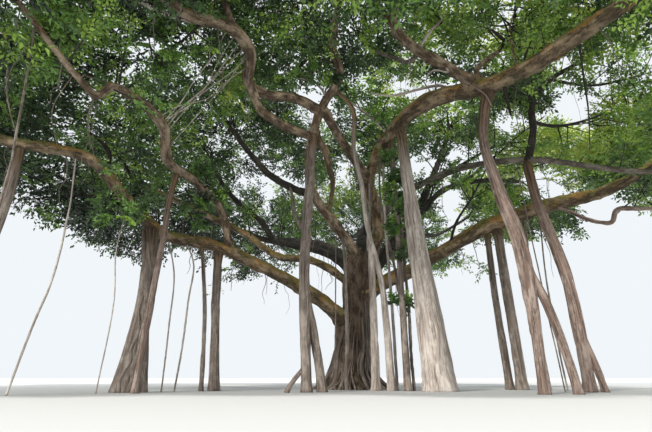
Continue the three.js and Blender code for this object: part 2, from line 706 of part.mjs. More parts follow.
// The forks of one mass: each root in turn is joined to the fork that makes the shortest way back to
// the stem, and load counts the roots that a fork carries.
function growForks(name, start, first, sprays) {
  const forks = [
    { at: start, parent: null, back: 0, load: 0 },
    { at: first, parent: 0, back: STEM_LENGTH, load: 0 },
  ];
  const inTurn = sprays.toSorted((a, b) => a.root.distanceTo(first) - b.root.distanceTo(first));
  for (const { root, way } of inTurn) {
    const best = forks.slice(1)
      .map((fork, i) => ({ i: i + 1, cost: fork.at.distanceTo(root) + DETOUR * fork.back }))
      .sort((a, b) => a.cost - b.cost)
      .find(({ i }) => segmentFree(name, forks[i].at, root, TWIG_TIP));
    if (!best) continue;
    const from = forks[best.i];
    forks.push({ at: root, way, parent: best.i, back: from.back + from.at.distanceTo(root), load: 0 });
    for (let i = forks.length - 1; i !== null; i = forks[i].parent) forks[i].load++;
  }
  return forks;
}

// The twigs of one mass: the stem runs on through the child that carries most at each fork, and
// every other child starts a twig of its own there. A twig's end runs on a little in its spray.
function twigSolids(forks, stemRadius, way) {
  const radius = ({ load }) => Math.max(TWIG_TIP, stemRadius * (load / forks[0].load) ** TWIG_GROWTH);
  const childrenOf = (i) => forks.keys().filter((k) => forks[k].parent === i).toArray();
  const solids = [];
  const follow = (i, line, radii) => {
    line.push(forks[i].at);
    radii.push(radius(forks[i]));
    const children = childrenOf(i).sort((a, b) => forks[b].load - forks[a].load);
    for (const side of children.slice(1))
      follow(side, [forks[i].at], [radius(forks[side])]);
    if (children.length) {
      follow(children[0], line, radii);
      return;
    }
    line.push(forks[i].at.clone().addScaledVector(forks[i].way, MIDRIB));
    radii.push(TWIG_TIP / 2);
    const firstWay = line[0] === forks[0].at ? way : line[1].clone().sub(line[0]).normalize();
    solids.push(twigSolid(line, radii, firstWay));
  };
  follow(0, [], []);
  return solids;
}

// One mass: sprays in its space, and the twigs that carry them from its bough's tip. A spray that
// touches another piece along a single edge would open the mesh, so the last one is dropped then.
function growMass(name, seed) {
  const way = curves[name].getTangentAt(1);
  const start = curves[name].getPointAt(1).addScaledVector(way, GAP / MM);
  const first = start.clone().addScaledVector(way, STEM_LENGTH);
  const sprays = placeSprays(name, first.clone().lerp(point(MASSES[name].centre), HUB), seed);
  const forks = growForks(name, start, first, sprays);
  const twigs = twigSolids(forks, BOUGHS[name].radius.at(-1), way);
  for (;;) {
    const mass = settled(union([...twigs, ...sprays.map(({ solid }) => solid)]));
    if (edgesPair(mass)) return mass;
    sprays.pop();
  }
}

const tree = new THREE.Group();
const grown = []; // what is made so far, each a gap larger, with its box

function meet(a, b) {
  return [0, 1, 2].every((axis) => a.min[axis] <= b.max[axis] && b.min[axis] <= a.max[axis]);
}

function addMesh(name, solid, finish) {
  const material = new THREE.MeshStandardMaterial({ ...finish, metalness: 0 });
  const mesh = new THREE.Mesh(toGeometry(settled(solid)), material);
  mesh.name = name;
  tree.add(mesh);
}

// Adds a limb, cut clear of every limb that was made before it.
function addLimb(name, make, finish) {
  const made = make(0);
  const box = made.boundingBox();
  const cut = grown.filter((other) => meet(box, other.box))
    .reduce((solid, other) => solid.subtract(other.solid), made);
  addMesh(name, whole(cut), finish);
  const larger = make(GAP);
  grown.push({ solid: larger, box: larger.boundingBox() });
}

addLimb("trunk", trunk, BARK_PALE);
for (const [name, bough] of Object.entries(BOUGHS)) {
  curves[name] = boughCurve(bough);
  for (const piece of boughPieces(name, bough)) addLimb(piece.name, piece.make, bough.bark);
  sample(curves[name], boughRadius(curves[name], bough.radius));
}
for (const [name, prop] of Object.entries(PROPS)) {
  const lines = rootLines(prop);
  curves[name] = lines[0].curve;
  addLimb(name, (grow) => propSolid(lines, grow), BARK_PALE);
  for (const { curve, radius } of lines) sample(curve, rootRadius(curve, radius));
}
Object.keys(MASSES).forEach((name, i) => addMesh(`foliage_${name}`, growMass(name, i + 1), LEAF_GREEN));

export default tree;
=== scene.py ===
"""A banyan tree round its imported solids: bark with relief on every limb, and leafy twigs for each mass.

Places and sizes are in metres, and shares run from 0 to 1 along a line. The tables of boughs, prop roots
and masses repeat the part's source, and each mass's twigs branch by the rule that its solids follow,
carried to finer twigs.
"""

import itertools
import json
import math

import bpy
import numpy as np
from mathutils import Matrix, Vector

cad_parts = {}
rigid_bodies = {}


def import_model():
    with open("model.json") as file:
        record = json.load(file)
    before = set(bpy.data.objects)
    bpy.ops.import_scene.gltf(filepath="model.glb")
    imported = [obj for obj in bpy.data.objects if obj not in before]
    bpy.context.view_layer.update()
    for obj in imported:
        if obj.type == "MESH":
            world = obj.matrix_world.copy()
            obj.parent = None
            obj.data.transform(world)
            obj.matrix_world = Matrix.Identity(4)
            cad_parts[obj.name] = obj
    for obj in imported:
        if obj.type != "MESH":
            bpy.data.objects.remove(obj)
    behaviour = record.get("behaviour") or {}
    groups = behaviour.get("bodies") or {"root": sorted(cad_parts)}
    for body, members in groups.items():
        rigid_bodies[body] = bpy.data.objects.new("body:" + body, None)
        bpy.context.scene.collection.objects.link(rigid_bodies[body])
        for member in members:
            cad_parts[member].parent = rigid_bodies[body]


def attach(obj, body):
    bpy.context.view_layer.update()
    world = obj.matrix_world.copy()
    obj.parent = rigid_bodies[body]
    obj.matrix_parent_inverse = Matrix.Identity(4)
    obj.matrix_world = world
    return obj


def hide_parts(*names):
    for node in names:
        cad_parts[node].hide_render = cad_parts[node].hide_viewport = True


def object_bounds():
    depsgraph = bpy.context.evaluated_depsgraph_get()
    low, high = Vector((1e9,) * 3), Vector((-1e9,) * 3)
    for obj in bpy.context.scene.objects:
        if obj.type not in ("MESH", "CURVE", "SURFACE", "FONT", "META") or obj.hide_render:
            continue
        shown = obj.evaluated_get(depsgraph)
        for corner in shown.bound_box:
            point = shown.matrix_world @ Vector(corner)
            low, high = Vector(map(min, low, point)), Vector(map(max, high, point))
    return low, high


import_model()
CAD_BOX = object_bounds()

# The camera stands low in front of the tree and looks up into it.
PHOTO_SIZE = (652, 432)
FOCAL_PIXELS = 497
SENSOR_MM = 36
CLIP_END = 500
CAMERA_PLACE = np.array([-0.8, -16.5, 0.35])
CAMERA_PITCH = math.radians(18)

UP = np.array([0.0, 0.0, 1.0])
SIDEWAYS = np.array([1.0, 0.0, 0.0])

# The trunk: the places that its middle passes, its radius at the waist, and its taper, flare and lobes as
# shares of that radius.
TRUNK_AXIS = [[-0.08, 0, 0], [0.06, 0, 1], [0.14, 0, 2], [0.22, 0, 2.9]]
TRUNK_TOP = 2.9
WAIST = 0.5
TAPER = 0.25
FLARE, FLARE_REACH = 0.5, 0.6
LOBES, LOBE_DEPTH = 8, 0.08
# Each buttress root: its turn in degrees, the height at which it starts and how far out it ends.
BUTTRESSES = [(10, 2.2, 1.15), (55, 1.5, 1.1), (105, 2, 1.25), (160, 1.7, 1.2),
              (203, 2.4, 1.35), (246, 1.4, 1.2), (283, 2.3, 1.15), (325, 1.9, 1.2)]
BUTTRESS_RADIUS = [0.1, 0.13]
BUTTRESS_INSET = 0.05
BUTTRESS_BENDS = [1, 0.55, 0.2]  # the heights that it passes, as shares of its top
# Each stem that the trunk forks into: the places that it passes and its radii.
STEMS = {
    "left": ([[0.02, -0.03, 1.9], [0.06, -0.15, 3.3], [0.1, -0.5, 4.3]], [0.3, 0.3, 0.24]),
    "right": ([[0.28, 0.05, 1.9], [0.55, 0.1, 3.5], [0.98, -0.15, 5]], [0.3, 0.29, 0.22]),
    "rear": ([[0.12, 0.15, 1.9], [0.24, 0.55, 3.5], [0.5, 1.1, 4.8]], [0.3, 0.3, 0.25]),
}

# Each bough: the line and share that it leaves, the places that it passes, its radii, its bark, and
# the line and share that it ends on where it does.
BOUGHS = {
    "left_low": (("core", 0.66), [[-1.1, -0.6, 2.8], [-3.1, -1.6, 3.72], [-4.2, -2.2, 4.1],
        [-5.3, -3.1, 4.15], [-5.9, -4.4, 4.65], [-6.5, -5.7, 5.3], [-8, -6.6, 5.35], [-9.4, -6.7, 5.8]],
        [0.26, 0.19, 0.16, 0.135, 0.1], "mossy"),
    "left_arch": (("left_low", 0.365), [[-3.81, -2.05, 4.57], [-4.02, -2.35, 5.2], [-4.42, -3.4, 5.56],
        [-4.86, -4.75, 5.66], [-4.75, -5.7, 6.15], [-5.15, -6.8, 6.33], [-5.38, -7.2, 6.28],
        [-5.5, -7.6, 5.83], [-5.7, -8.1, 5.98], [-6.5, -9, 6.96]],
        [0.12, 0.105, 0.11, 0.13, 0.105, 0.065, 0.05], "brown"),
    "left_moss": (("core", 0.95), [[-0.23, 0.1, 3.5], [-1.28, 0.3, 4.17], [-1.78, 0.45, 4.28],
        [-2.5, 0.8, 4.45], [-3.9, 1.4, 5.5], [-5.4, 1.2, 6.2], [-7.4, 0.3, 6.95]],
        [0.15, 0.115, 0.12, 0.11, 0.08], "mossy"),
    "left_back": (("left", 0.72), [[-0.8, 0.6, 4.5], [-2.2, 1.3, 5], [-3.5, 2, 5.5], [-5, 2.9, 6.3],
        [-6.9, 4, 7.2]], [0.13, 0.11, 0.09, 0.06], "dark"),
    "left_rise": (("left_back", 0.42), [[-3.35, 1.85, 6.1], [-4.2, 2.3, 6.9], [-4.9, 2.6, 7.7],
        [-5.5, 2.8, 8.7]], [0.12, 0.1, 0.07], "dark"),
    "centre": (("left", 1), [[-0.64, -1.45, 5.1], [-1.2, -2.4, 5.75], [-1.28, -3.2, 6.7], [-0.9, -3.9, 7.7],
        [-0.4, -4.4, 8.5], [-0.6, -4.9, 9.05], [-0.45, -5.9, 9.9]],
        [0.21, 0.15, 0.135, 0.13, 0.12, 0.115, 0.08], "brown"),
    "left_far": (("centre", 0.3), [[-1.6, -2, 5.85], [-2.6, -1.8, 6.5], [-3.4, -1.9, 7.4],
        [-4.4, -2.7, 8.6]], [0.13, 0.11, 0.08, 0.06], "dark"),
    "right_high": (("right", 1), [[0.85, -0.55, 5.9], [0.62, -1, 6.6], [0.85, -1.5, 7.25], [1.5, -2.6, 7.9],
        [2.2, -3.7, 8.05], [3.1, -4.8, 7.7], [3.9, -6, 7.4], [4.7, -7.3, 7.45], [5.9, -9, 7.9]],
        [0.2, 0.19, 0.21, 0.24, 0.21, 0.185, 0.15], "mossy"),
    "bridge": (("right_high", 0.16), [[0.1, -1.9, 6.95], [-0.5, -3, 7.45]], [0.15, 0.13, 0.13], "brown",
        ("centre", 0.62)),
    "left_high": (("centre", 0.61), [[-1.6, -4.2, 7.8], [-2.4, -4.7, 7.65], [-2.82, -5.15, 7.7],
        [-2.75, -5.8, 8.2], [-3.05, -6.4, 8.4], [-3.9, -7.3, 8.1], [-4.8, -8.6, 8.1]],
        [0.14, 0.13, 0.15, 0.13, 0.08], "brown"),
    "left_brace": (("centre", 0.52), [[-2.1, -4.1, 7.1], [-2.6, -4.7, 7.25]], [0.12, 0.11], "brown",
        ("left_high", 0.37)),
    "right_fork": (("right_high", 0.6), [[2.5, -4.95, 8.3], [1.6, -5.35, 8.65], [0.95, -5.9, 9],
        [1.2, -7.1, 9.5]], [0.16, 0.15, 0.12, 0.07], "brown"),
    "right_spur": (("right_high", 0.62), [[3.4, -4.6, 8.5], [4.3, -4.3, 9.4]], [0.09, 0.06], "brown"),
    "right_mid": (("right_high", 0.04), [[1.8, -0.4, 6.3], [3.3, -1.7, 6.7], [5, -3.4, 6.3], [6.7, -5, 5.3],
        [8.2, -6, 4.8]], [0.14, 0.1, 0.08, 0.05], "grey"),
    "right_low": (("core", 0.9), [[1.2, 0.2, 3.4], [2.2, 0.1, 3.9], [3.3, -0.2, 4.5], [4.5, -0.8, 5.05],
        [6.2, -1.9, 5.45], [7.2, -2.7, 5.5], [8, -3.3, 5.8], [9.5, -3.2, 6.9]],
        [0.27, 0.22, 0.25, 0.17, 0.08], "mossy"),
    "right_rise": (("right", 0.45), [[1.5, 0.4, 4.7], [2.3, 0.55, 5.6], [2.9, 0.7, 6.8], [3.5, 0.95, 8.2],
        [4.1, 1.3, 9.7]], [0.19, 0.16, 0.12, 0.07], "dark"),
    "right_back": (("right_rise", 0.4), [[3.4, 1, 6.9], [4.4, 1.5, 7.5], [5.8, 2.1, 7.9], [7.3, 3, 8.2]],
        [0.11, 0.1, 0.07], "dark"),
    "rear_left": (("rear", 0.55), [[-0.5, 2, 5], [-1.6, 3.6, 5.7], [-2.6, 5.4, 6.3], [-3.6, 7.4, 6.9]],
        [0.22, 0.16, 0.12, 0.07], "dark"),
    "rear_right": (("rear", 0.7), [[1.4, 2.2, 5], [2.5, 3.8, 5.9], [3.6, 5.4, 6.5], [4.6, 7, 7]],
        [0.22, 0.16, 0.12, 0.07], "dark"),
    "rear_middle": (("rear", 1), [[0.6, 2.2, 5.6], [0.85, 4, 6.35], [0.7, 6.2, 6.8], [0.7, 8.4, 7.3]],
        [0.22, 0.16, 0.12, 0.07], "dark"),
    "rear_top": (("rear_middle", 0.12), [[0.98, 1.85, 6.1], [1.15, 2.2, 7.2], [0.95, 2.8, 8.4],
        [0.5, 3.4, 9.6]], [0.18, 0.14, 0.1, 0.07], "dark"),
}
SPLIT_BOUGHS = ("left_low", "left_arch", "right_high", "left_high")  # two solids each

# Each prop root: the bough and share that it hangs from, the places that it passes, its foot, its
# radii, and its legs as the share that each leaves at, its places, its foot and its radii.
PROPS = {
    "prop_centre": (("centre", 0.54), [[-1.3, -3.55, 4.9], [-1.37, -3.52, 3.3], [-1.33, -3.52, 1.5]],
        [-1.28, -3.55], [0.1, 0.125, 0.13, 0.12], [(0.6, [[-1.13, -3.45, 1.5]], [-0.9, -3.4], [0.09, 0.11]),
        (0.86, [], [-1.75, -3.75], [0.05, 0.06])]),
    "prop_right_pale": (("right_high", 0.345), [[1.68, -2.72, 5.4], [1.86, -2.8, 3.2]], [2.16, -2.85],
        [0.13, 0.17, 0.26, 0.32, 0.33], [(0.42, [[1.84, -2.9, 2.6]], [1.86, -2.95], [0.14, 0.15]), (0.36,
        [[2.08, -2.75, 2.8]], [2.46, -2.68], [0.14, 0.17])]),
    "prop_right_fork": (("right_high", 0.625), [[3.2, -5.1, 6.2], [3.45, -5.1, 4.7], [3.8, -5.1, 3.3]],
        [3.92, -5.1], [0.15, 0.11, 0.15, 0.18, 0.11, 0.105], [(0.6, [[4.22, -5.1, 2]], [4.65, -5.12],
        [0.1, 0.09])]),
    "prop_right_far": (("right_mid", 0.56), [[5.1, -3.42, 5], [5.6, -3.42, 2.9]], [5.76, -3.42],
        [0.12, 0.15, 0.13], [(0.7, [], [6.1, -3.5], [0.08, 0.08])]),
    "prop_pair": (("centre", 0.7), [[0, -3.5, 7.85], [0.05, -2.7, 7], [0.3, -2.3, 5.9], [0.45, -2.2, 4.6],
        [0.8, -2.2, 3]], [0.98, -2.2], [0.065, 0.065, 0.07, 0.085, 0.1], [(0.52, [[0.56, -2.05, 2.4]],
        [0.58, -2], [0.09, 0.12])]),
    "prop_right_slim_near": (("right_low", 0.45), [[4.6, -0.65, 2.6]], [4.75, -0.65], [0.09, 0.11], []),
    "prop_right_slim_far": (("right_low", 0.48), [[4.87, -0.95, 2.9]], [5, -0.97], [0.13, 0.15], []),
    "prop_left_slim": (("left_low", 0.39), [[-3.95, -2.2, 2.2]], [-3.85, -2.2], [0.13, 0.11, 0.14], []),
    "prop_left_thin": (("left_low", 0.43), [[-4.2, -2.4, 2]], [-4.15, -2.4], [0.05, 0.06], []),
    "prop_left_thick": (("left_low", 0.56), [[-5.45, -3.62, 2.4]], [-5.72, -3.62], [0.19, 0.22, 0.28],
        [(0.45, [], [-5.38, -3.5], [0.12, 0.14])]),
    "prop_left_lean": (("left_arch", 0.37), [[-4.93, -4.2, 4.7], [-4.96, -4.2, 3.95], [-5.07, -4.25, 2.4]],
        [-5.22, -4.3], [0.075, 0.07, 0.085], []),
    "prop_left_edge": (("left_low", 0.855), [[-7.75, -6.3, 4], [-7.95, -6.4, 2.4]], [-8.1, -6.45],
        [0.09, 0.095, 0.12], []),
    "root_hanging_long": (("right_high", 0.265), [[1.02, -1.9, 5], [1.12, -1.9, 2.5]], [1.18, -1.9],
        [0.035, 0.045], []),
    "root_hanging_leafy": (("right_high", 0.305), [[1.34, -2.24, 4.6]], [1.42, -2.25], [0.07, 0.09], []),
    "prop_rear": (("rear_middle", 0.5), [[0.86, 5, 3.2]], [0.95, 5.1], [0.12, 0.13, 0.16], []),
}
JOIN_SWELL = 0.3  # how much a limb swells where it leaves its parent, as a share of its radius
JOIN_REACH = 1.3  # of the limb's own radius
SLIM_PARENT = 0.7  # a limb doesn't swell where its parent's radius is under this share of its own
PARENT_REACH = 0.9  # metres down a prop root over which its bough's bark gives way to its own
LONG_REACH = 1.6  # the same for the rosy ones and those that leave a bough slowly
NECK = 0.45  # how thin a limb starts inside its parent, as a share of its radius
NECK_REACH = 1.2  # of the parent's radius
FOOT_FLARE = 0.3  # of the root's radius
FOOT_REACH = 1.6  # of the root's radius
BURIED = 0.4  # how far a root's line runs on under the ground

# Thin limbs that the photograph shows: the line and share that each leaves, the places that it passes,
# its radii, its bark, and how many leafy shoots it bears to a metre from which share on.
THIN_LIMBS = {
    "inner": (("right_mid", 0.57), [[5.35, -3.3, 7.37], [5.53, -3, 8.26], [6.18, -2.8, 9.24],
        [7.36, -2.6, 10.08], [8.7, -2.4, 10.9]], [0.11, 0.1, 0.09, 0.06, 0.03], "dark", 4, 0.3),
    "inner_high": (("inner", 0.56), [[7.33, -2.4, 9.46], [8.39, -2, 9.68], [9.59, -1.8, 10.09],
        [10.7, -1.6, 10.5]], [0.05, 0.045, 0.035, 0.02], "dark", 6, 0.15),
    "inner_low": (("inner", 0.22), [[6.36, -2.6, 7.82], [7.39, -2.2, 8.18], [8.63, -2, 8.73],
        [10.32, -1.8, 9.46]], [0.055, 0.045, 0.035, 0.02], "dark", 6, 0.2),
    "under": (("right_low", 0.63), [[6.49, -2.2, 5.19], [6.78, -2.5, 4.87], [7.17, -2.7, 4.65],
        [7.46, -2.8, 4.62], [7.57, -3, 4.92], [8.23, -3.4, 4.84], [9.1, -3.7, 5.1]],
        [0.07, 0.055, 0.06, 0.075, 0.04, 0.02], "red", 1.2, 0.5),
    "pale_long": (("right_high", 0.53), [[2.47, -4.15, 8.27], [1.91, -4, 8.26], [1.4, -3.9, 8.16],
        [1.01, -3.8, 8.16], [0.49, -3.8, 8.26]], [0.045, 0.04, 0.035, 0.02], "pale", 0.5, 0.7),
    "stub": (("right_fork", 0.44), [[1.42, -5, 8.47], [1.02, -4.8, 8.77], [0.6, -4.7, 9.01],
        [0.3, -4.5, 9.4], [0.1, -4.3, 9.9]], [0.07, 0.06, 0.055, 0.045, 0.02], "grey", 2, 0.6),
    "stub_high": (("right_fork", 0.46), [[1.95, -5.6, 8.99], [2.24, -5.5, 9.36], [2.5, -5.2, 9.9]],
        [0.04, 0.035, 0.02], "pale", 2.5, 0.5),
    "loop": (("centre", 0.2), [[-0.68, -1.9, 5.45], [-0.61, -2.2, 6.04], [-0.72, -2.6, 6.46],
        [-0.78, -2.95, 6.77], [-0.98, -3.3, 6.95], [-1.1, -3.6, 7.2]],
        [0.075, 0.065, 0.075, 0.1, 0.11, 0.11], "mossy", 0, 0),
    "hook": (("right_high", 0.66), [[3.67, -5.7, 6.87], [3.68, -5.8, 6.37]], [0.05, 0.035, 0.02], "dark", 0,
        0),
    "under_high": (("left_high", 0.55), [[-3.54, -6.3, 8.59], [-3.97, -6.9, 8.24], [-4.41, -7.6, 7.9],
        [-4.69, -8, 7.82]], [0.055, 0.05, 0.045, 0.03], "pale", 1, 0.6),
    "left_top": (("left_high", 0.54), [[-3.12, -6.3, 8.71], [-3.25, -6.5, 9.04], [-3.35, -6.9, 9.5]],
        [0.1, 0.09, 0.07, 0.03], "brown", 4, 0.3),
    "moss_far": (("left_moss", 0.93), [[-8.35, -0.2, 6.38], [-9.87, -0.6, 6.23], [-10.77, -1, 5.94]],
        [0.07, 0.06, 0.05, 0.02], "dark", 3, 0.2),
    "arch_hang": (("left_arch", 0.18), [[-4.21, -3.3, 5.11], [-4.42, -3.5, 4.81], [-4.56, -3.6, 4.48]],
        [0.03, 0.025, 0.02, 0.01], "dark", 5, 0.1),
    "arch_side": (("left_arch", 0.24), [[-4.1, -3.5, 5.5], [-3.9, -3.9, 5.3]], [0.03, 0.02, 0.01], "dark",
        5, 0.1),
    "low_hang": (("left_low", 0.67), [[-5.88, -5.4, 4.36], [-5.53, -5.4, 4.01], [-5.3, -5.3, 3.79]],
        [0.03, 0.025, 0.02, 0.01], "dark", 5, 0.2),
    "stub_left": (("right_high", 0.3), [[0.74, -2.3, 8.2], [0.35, -2.4, 8.5], [-0.2, -2.6, 8.8]],
        [0.05, 0.04, 0.03, 0.02], "pale", 1.5, 0.6),
    "curl": (("right_fork", 0.25), [[2.37, -5.3, 7.95], [2, -5.4, 7.94], [1.84, -5.4, 7.79],
        [1.77, -5.4, 7.55]], [0.03, 0.025, 0.02, 0.012], "pale", 0, 0),
    "over": (("right_fork", 0.18), [[2.78, -5.2, 7.78], [2.98, -5.35, 7.5], [3.27, -5.4, 7.2],
        [3.41, -5.35, 6.9]], [0.025, 0.022, 0.02, 0.015], "red", 0, 0),
    "low_shoot": (("right_low", 0.33), [[3.5, -0.8, 5.2], [4, -1.3, 6], [4.4, -1.6, 6.8]],
        [0.05, 0.04, 0.02], "dark", 2.5, 0.4),
    "rise_shoot": (("right_rise", 0.62), [[3.5, 0.2, 7.3], [4.3, -0.3, 7.7], [5.2, -0.6, 8.1],
        [6.3, -0.6, 8.3]], [0.07, 0.06, 0.04, 0.02], "dark", 3, 0.3),
    "back_shoot": (("right_back", 0.5), [[5.6, 1.2, 8.4], [6.6, 0.7, 9.2], [7.6, 0.5, 9.9]],
        [0.06, 0.05, 0.03, 0.02], "dark", 4, 0.2),
    "arch_shoot": (("left_arch", 0.62), [[-5.4, -5.9, 6.9], [-6.2, -5.6, 7.4], [-7.1, -5.4, 7.8]],
        [0.05, 0.04, 0.03, 0.02], "brown", 3, 0.2),
    "low_rise": (("left_low", 0.7), [[-6.4, -4.9, 5.9], [-7.1, -4.6, 6.5], [-7.9, -4.2, 7]],
        [0.06, 0.05, 0.03, 0.02], "dark", 3, 0.2),
    "crown_centre": (("centre", 0.66), [[-1.05, -4.3, 8.23], [-1.36, -4.4, 8.3], [-1.64, -4.5, 8.33],
        [-1.94, -4.6, 8.42]], [0.03, 0.025, 0.02, 0.012], "pale", 6, 0.1),
    "fork_left": (("right_fork", 0.7), [[0.74, -5.8, 9.37], [0.44, -5.6, 10.12]], [0.11, 0.1, 0.07],
        "brown", 3, 0.5),
    "crown_right": (("right_high", 0.7), [[3.93, -5.8, 8.32], [4.09, -5.5, 9.23], [4.52, -5.2, 10.14],
        [5.03, -5, 10.94]], [0.03, 0.028, 0.022, 0.012], "brown", 8, 0.3),
    "crown_left": (("left_high", 0.7), [[-4.04, -6.7, 7.98], [-4.5, -6.5, 7.74], [-4.99, -6.3, 7.66]],
        [0.035, 0.03, 0.025, 0.012], "dark", 9, 0.15),
    "arch_cover": (("left_arch", 0.87), [[-6.2, -8.3, 6.6], [-6.4, -8.4, 7.1]], [0.03, 0.025, 0.012],
        "dark", 7, 0.2),
    "fall": (("right_high", 0.83), [[5.19, -6.5, 7.05], [5.16, -6.5, 6.13], [5.04, -6.5, 5.13]],
        [0.02, 0.022, 0.018, 0.01], "dark", 0, 0),
    "gap_shoot": (("right_rise", 0.3), [[2.6, 0.2, 5.9], [3, -0.1, 6.7], [3.3, -0.3, 7.5]],
        [0.05, 0.045, 0.035, 0.02], "dark", 5, 0.2),
}

# Thin roots from one limb down to another or to the ground: the line and share at each end, or the foot,
# places between them, a radius and the bark.
LINKS = [
    *[(("left_high", share), [], ("left_arch", end), thin, "pale") for share, end, thin in (
        (0.42, 0.565, 0.011), (0.46, 0.55, 0.013), (0.5, 0.54, 0.011), (0.53, 0.525, 0.014),
        (0.56, 0.51, 0.01), (0.6, 0.545, 0.012), (0.48, 0.46, 0.01))],
    (("left_arch", 0.95), [[-6.78, -7.9, 5.52], [-7.04, -7.5, 4.92], [-7.09, -7.4, 4.44],
        [-7.2, -7.3, 3.88], [-7.27, -7.2, 2.88], [-7.22, -7.2, 1.72]], (-7.3, -7.25), 0.024, "prop"),
    (("left_arch", 0.99), [[-7.17, -7.9, 5.91]], ("left_low", 0.86), 0.014, "prop"),
    (("left_arch", 0.84), [[-6.4, -7.5, 5.6]], ("left_low", 0.8), 0.01, "prop"),
    (("left_low", 0.77), [[-6.75, -5.6, 4.16], [-6.77, -5.6, 3.75], [-6.77, -5.65, 3.07],
        [-6.81, -5.75, 2.26], [-6.94, -5.85, 1.5]], (-7.2, -5.95), 0.024, "pale"),
    (("left_low", 0.63), [[-5.88, -4.8, 3.26], [-5.8, -4.75, 2.08]], (-5.95, -4.7), 0.016, "pale"),
    (("left_low", 0.47), [[-4.55, -2.7, 3.4], [-4.6, -2.75, 2.4], [-4.63, -2.8, 1.4]], (-4.72, -2.9), 0.026,
        "pale"),
    (("left_low", 0.51), [[-4.95, -3.1, 3], [-4.93, -3.2, 1.6]], (-4.96, -3.2), 0.022, "pale"),
    (("left_far", 0.2), [[-1.81, -2.4, 5.44], [-1.69, -3.1, 4.73]], ("prop_centre", 0.42), 0.055, "prop"),
    (("right_high", 0.24), [[0.95, -1.7, 5.2], [1.35, -1.75, 3]], (1.45, -1.75), 0.04, "prop"),
    (("right_high", 0.28), [[1.2, -1.95, 5.6], [1.42, -2, 3.2]], (1.52, -2.0), 0.026, "prop"),
    (("right_high", 0.29), [[1.4, -2.1, 5.4], [1.55, -2.1, 3.1]], (1.6, -2.1), 0.045, "prop"),
    (("right_high", 0.2), [[0.6, -1.35, 5], [0.55, -1.3, 3]], (0.62, -1.4), 0.026, "prop"),
    (("right_high", 0.17), [[0.62, -1.15, 5.6], [0.5, -1.3, 4.2]], ("prop_pair", 0.55), 0.035, "pale"),
    (("centre", 0.08), [[-0.26, -1.3, 4.4], [-0.21, -1.35, 3.5]], (-0.2, -1.4), 0.055, "prop"),
    (("centre", 0.13), [[-0.5, -1.5, 3.8]], (-0.55, -1.55), 0.02, "prop"),
    (("right_low", 0.56), [[5.45, -1.5, 3]], (5.6, -1.5), 0.045, "prop"),
    (("right_low", 0.6), [[5.8, -1.75, 3]], (5.95, -1.8), 0.026, "prop"),
    (("right_mid", 0.53), [[4.9, -3.2, 4]], (5.2, -3.3), 0.018, "prop"),
]

# Each mass: the centre of its oval space and the sizes of that space from its centre.
MASSES = {
    "left_low": ([-11, -6.2, 7], [3.2, 3.2, 2.2]),
    "left_arch": ([-8.2, -9.3, 8.1], [3.1, 2.7, 2.1]),
    "left_high": ([-4, -10, 9.3], [3, 2.6, 2.1]),
    "left_far": ([-5.7, -4.1, 10], [3.4, 3.4, 2.3]),
    "left_moss": ([-9.6, -0.8, 7.9], [3.5, 3.4, 2.4]),
    "left_back": ([-9.2, 5.2, 8.2], [3.3, 3.3, 2.4]),
    "left_rise": ([-5.4, 2, 10.6], [3.3, 3.3, 2.3]),
    "centre": ([-1.2, -4.9, 11.3], [3.4, 3.3, 2.2]),
    "right_fork": ([0.8, -9.3, 10], [3, 2.7, 2.1]),
    "right_high": ([6.4, -9.8, 9], [3.1, 2.7, 2.1]),
    "right_spur": ([5.3, -4.6, 10.6], [3.4, 3.2, 2.2]),
    "right_mid": ([10, -7, 6.1], [3, 2.9, 2.1]),
    "right_low": ([11.4, -2, 8], [3.2, 3.4, 2.4]),
    "right_rise": ([4.4, 1.1, 11.5], [3.5, 3.5, 2.1]),
    "right_back": ([9.6, 4.4, 8.7], [3.4, 3.4, 2.4]),
    "rear_right": ([6.4, 9, 8.1], [3.4, 3.1, 2.4]),
    "rear_middle": ([0.8, 10.7, 8.4], [3.3, 2.9, 2.4]),
    "rear_left": ([-5.1, 9.5, 8.1], [3.4, 3.1, 2.4]),
    "rear_top": ([-0.5, 4.7, 11.4], [3.5, 3.4, 2.1]),
}
SPRAYS_PER_MASS = 680
SPACE_MARGIN = 0.02  # how much nearer its own middle than any other a place is, as a share of the space
HOLLOW = 0.4  # the share of a space round its middle that stays empty
HUB = 0.5  # how far from a stem to the middle the place lies that sprays grow away from
GOLDEN = np.array([0.8191725134, 0.6710436067, 0.5497004779])  # steps that spread places evenly
SEED_STEP = 0.37
MOST_TRIES = 7000
CLUMP_SCALE = 0.75  # clumps of foliage to a metre
CLUMP_FLOOR = -0.15  # the noise below which no spray grows
OPEN_ACROSS = 0.015  # how much higher it lies with each metre to the right
TWIG_TIP = 0.0045  # the thinnest radius
TWIG_GROWTH = 0.5  # the power of the load by which a twig thickens
STEM_LENGTH = 0.3  # from a bough's tip to its first fork
DETOUR = 0.35  # how much the way back to the stem counts where a twig picks its fork
NEAREST_FORKS = 6  # how many forks a twig tries
STRAY = 0.035  # how far forks stray
CLEAR = 0.12  # how far twigs keep from boughs and roots
SAMPLE_STEP = 0.15
TWIG_STEP = 0.5
BOX_SHARE = 0.03  # how far leaves may stand out of the solids' box, as a share of each side
OVERHANG = 0.53  # metres that a spray's leaves reach past its end

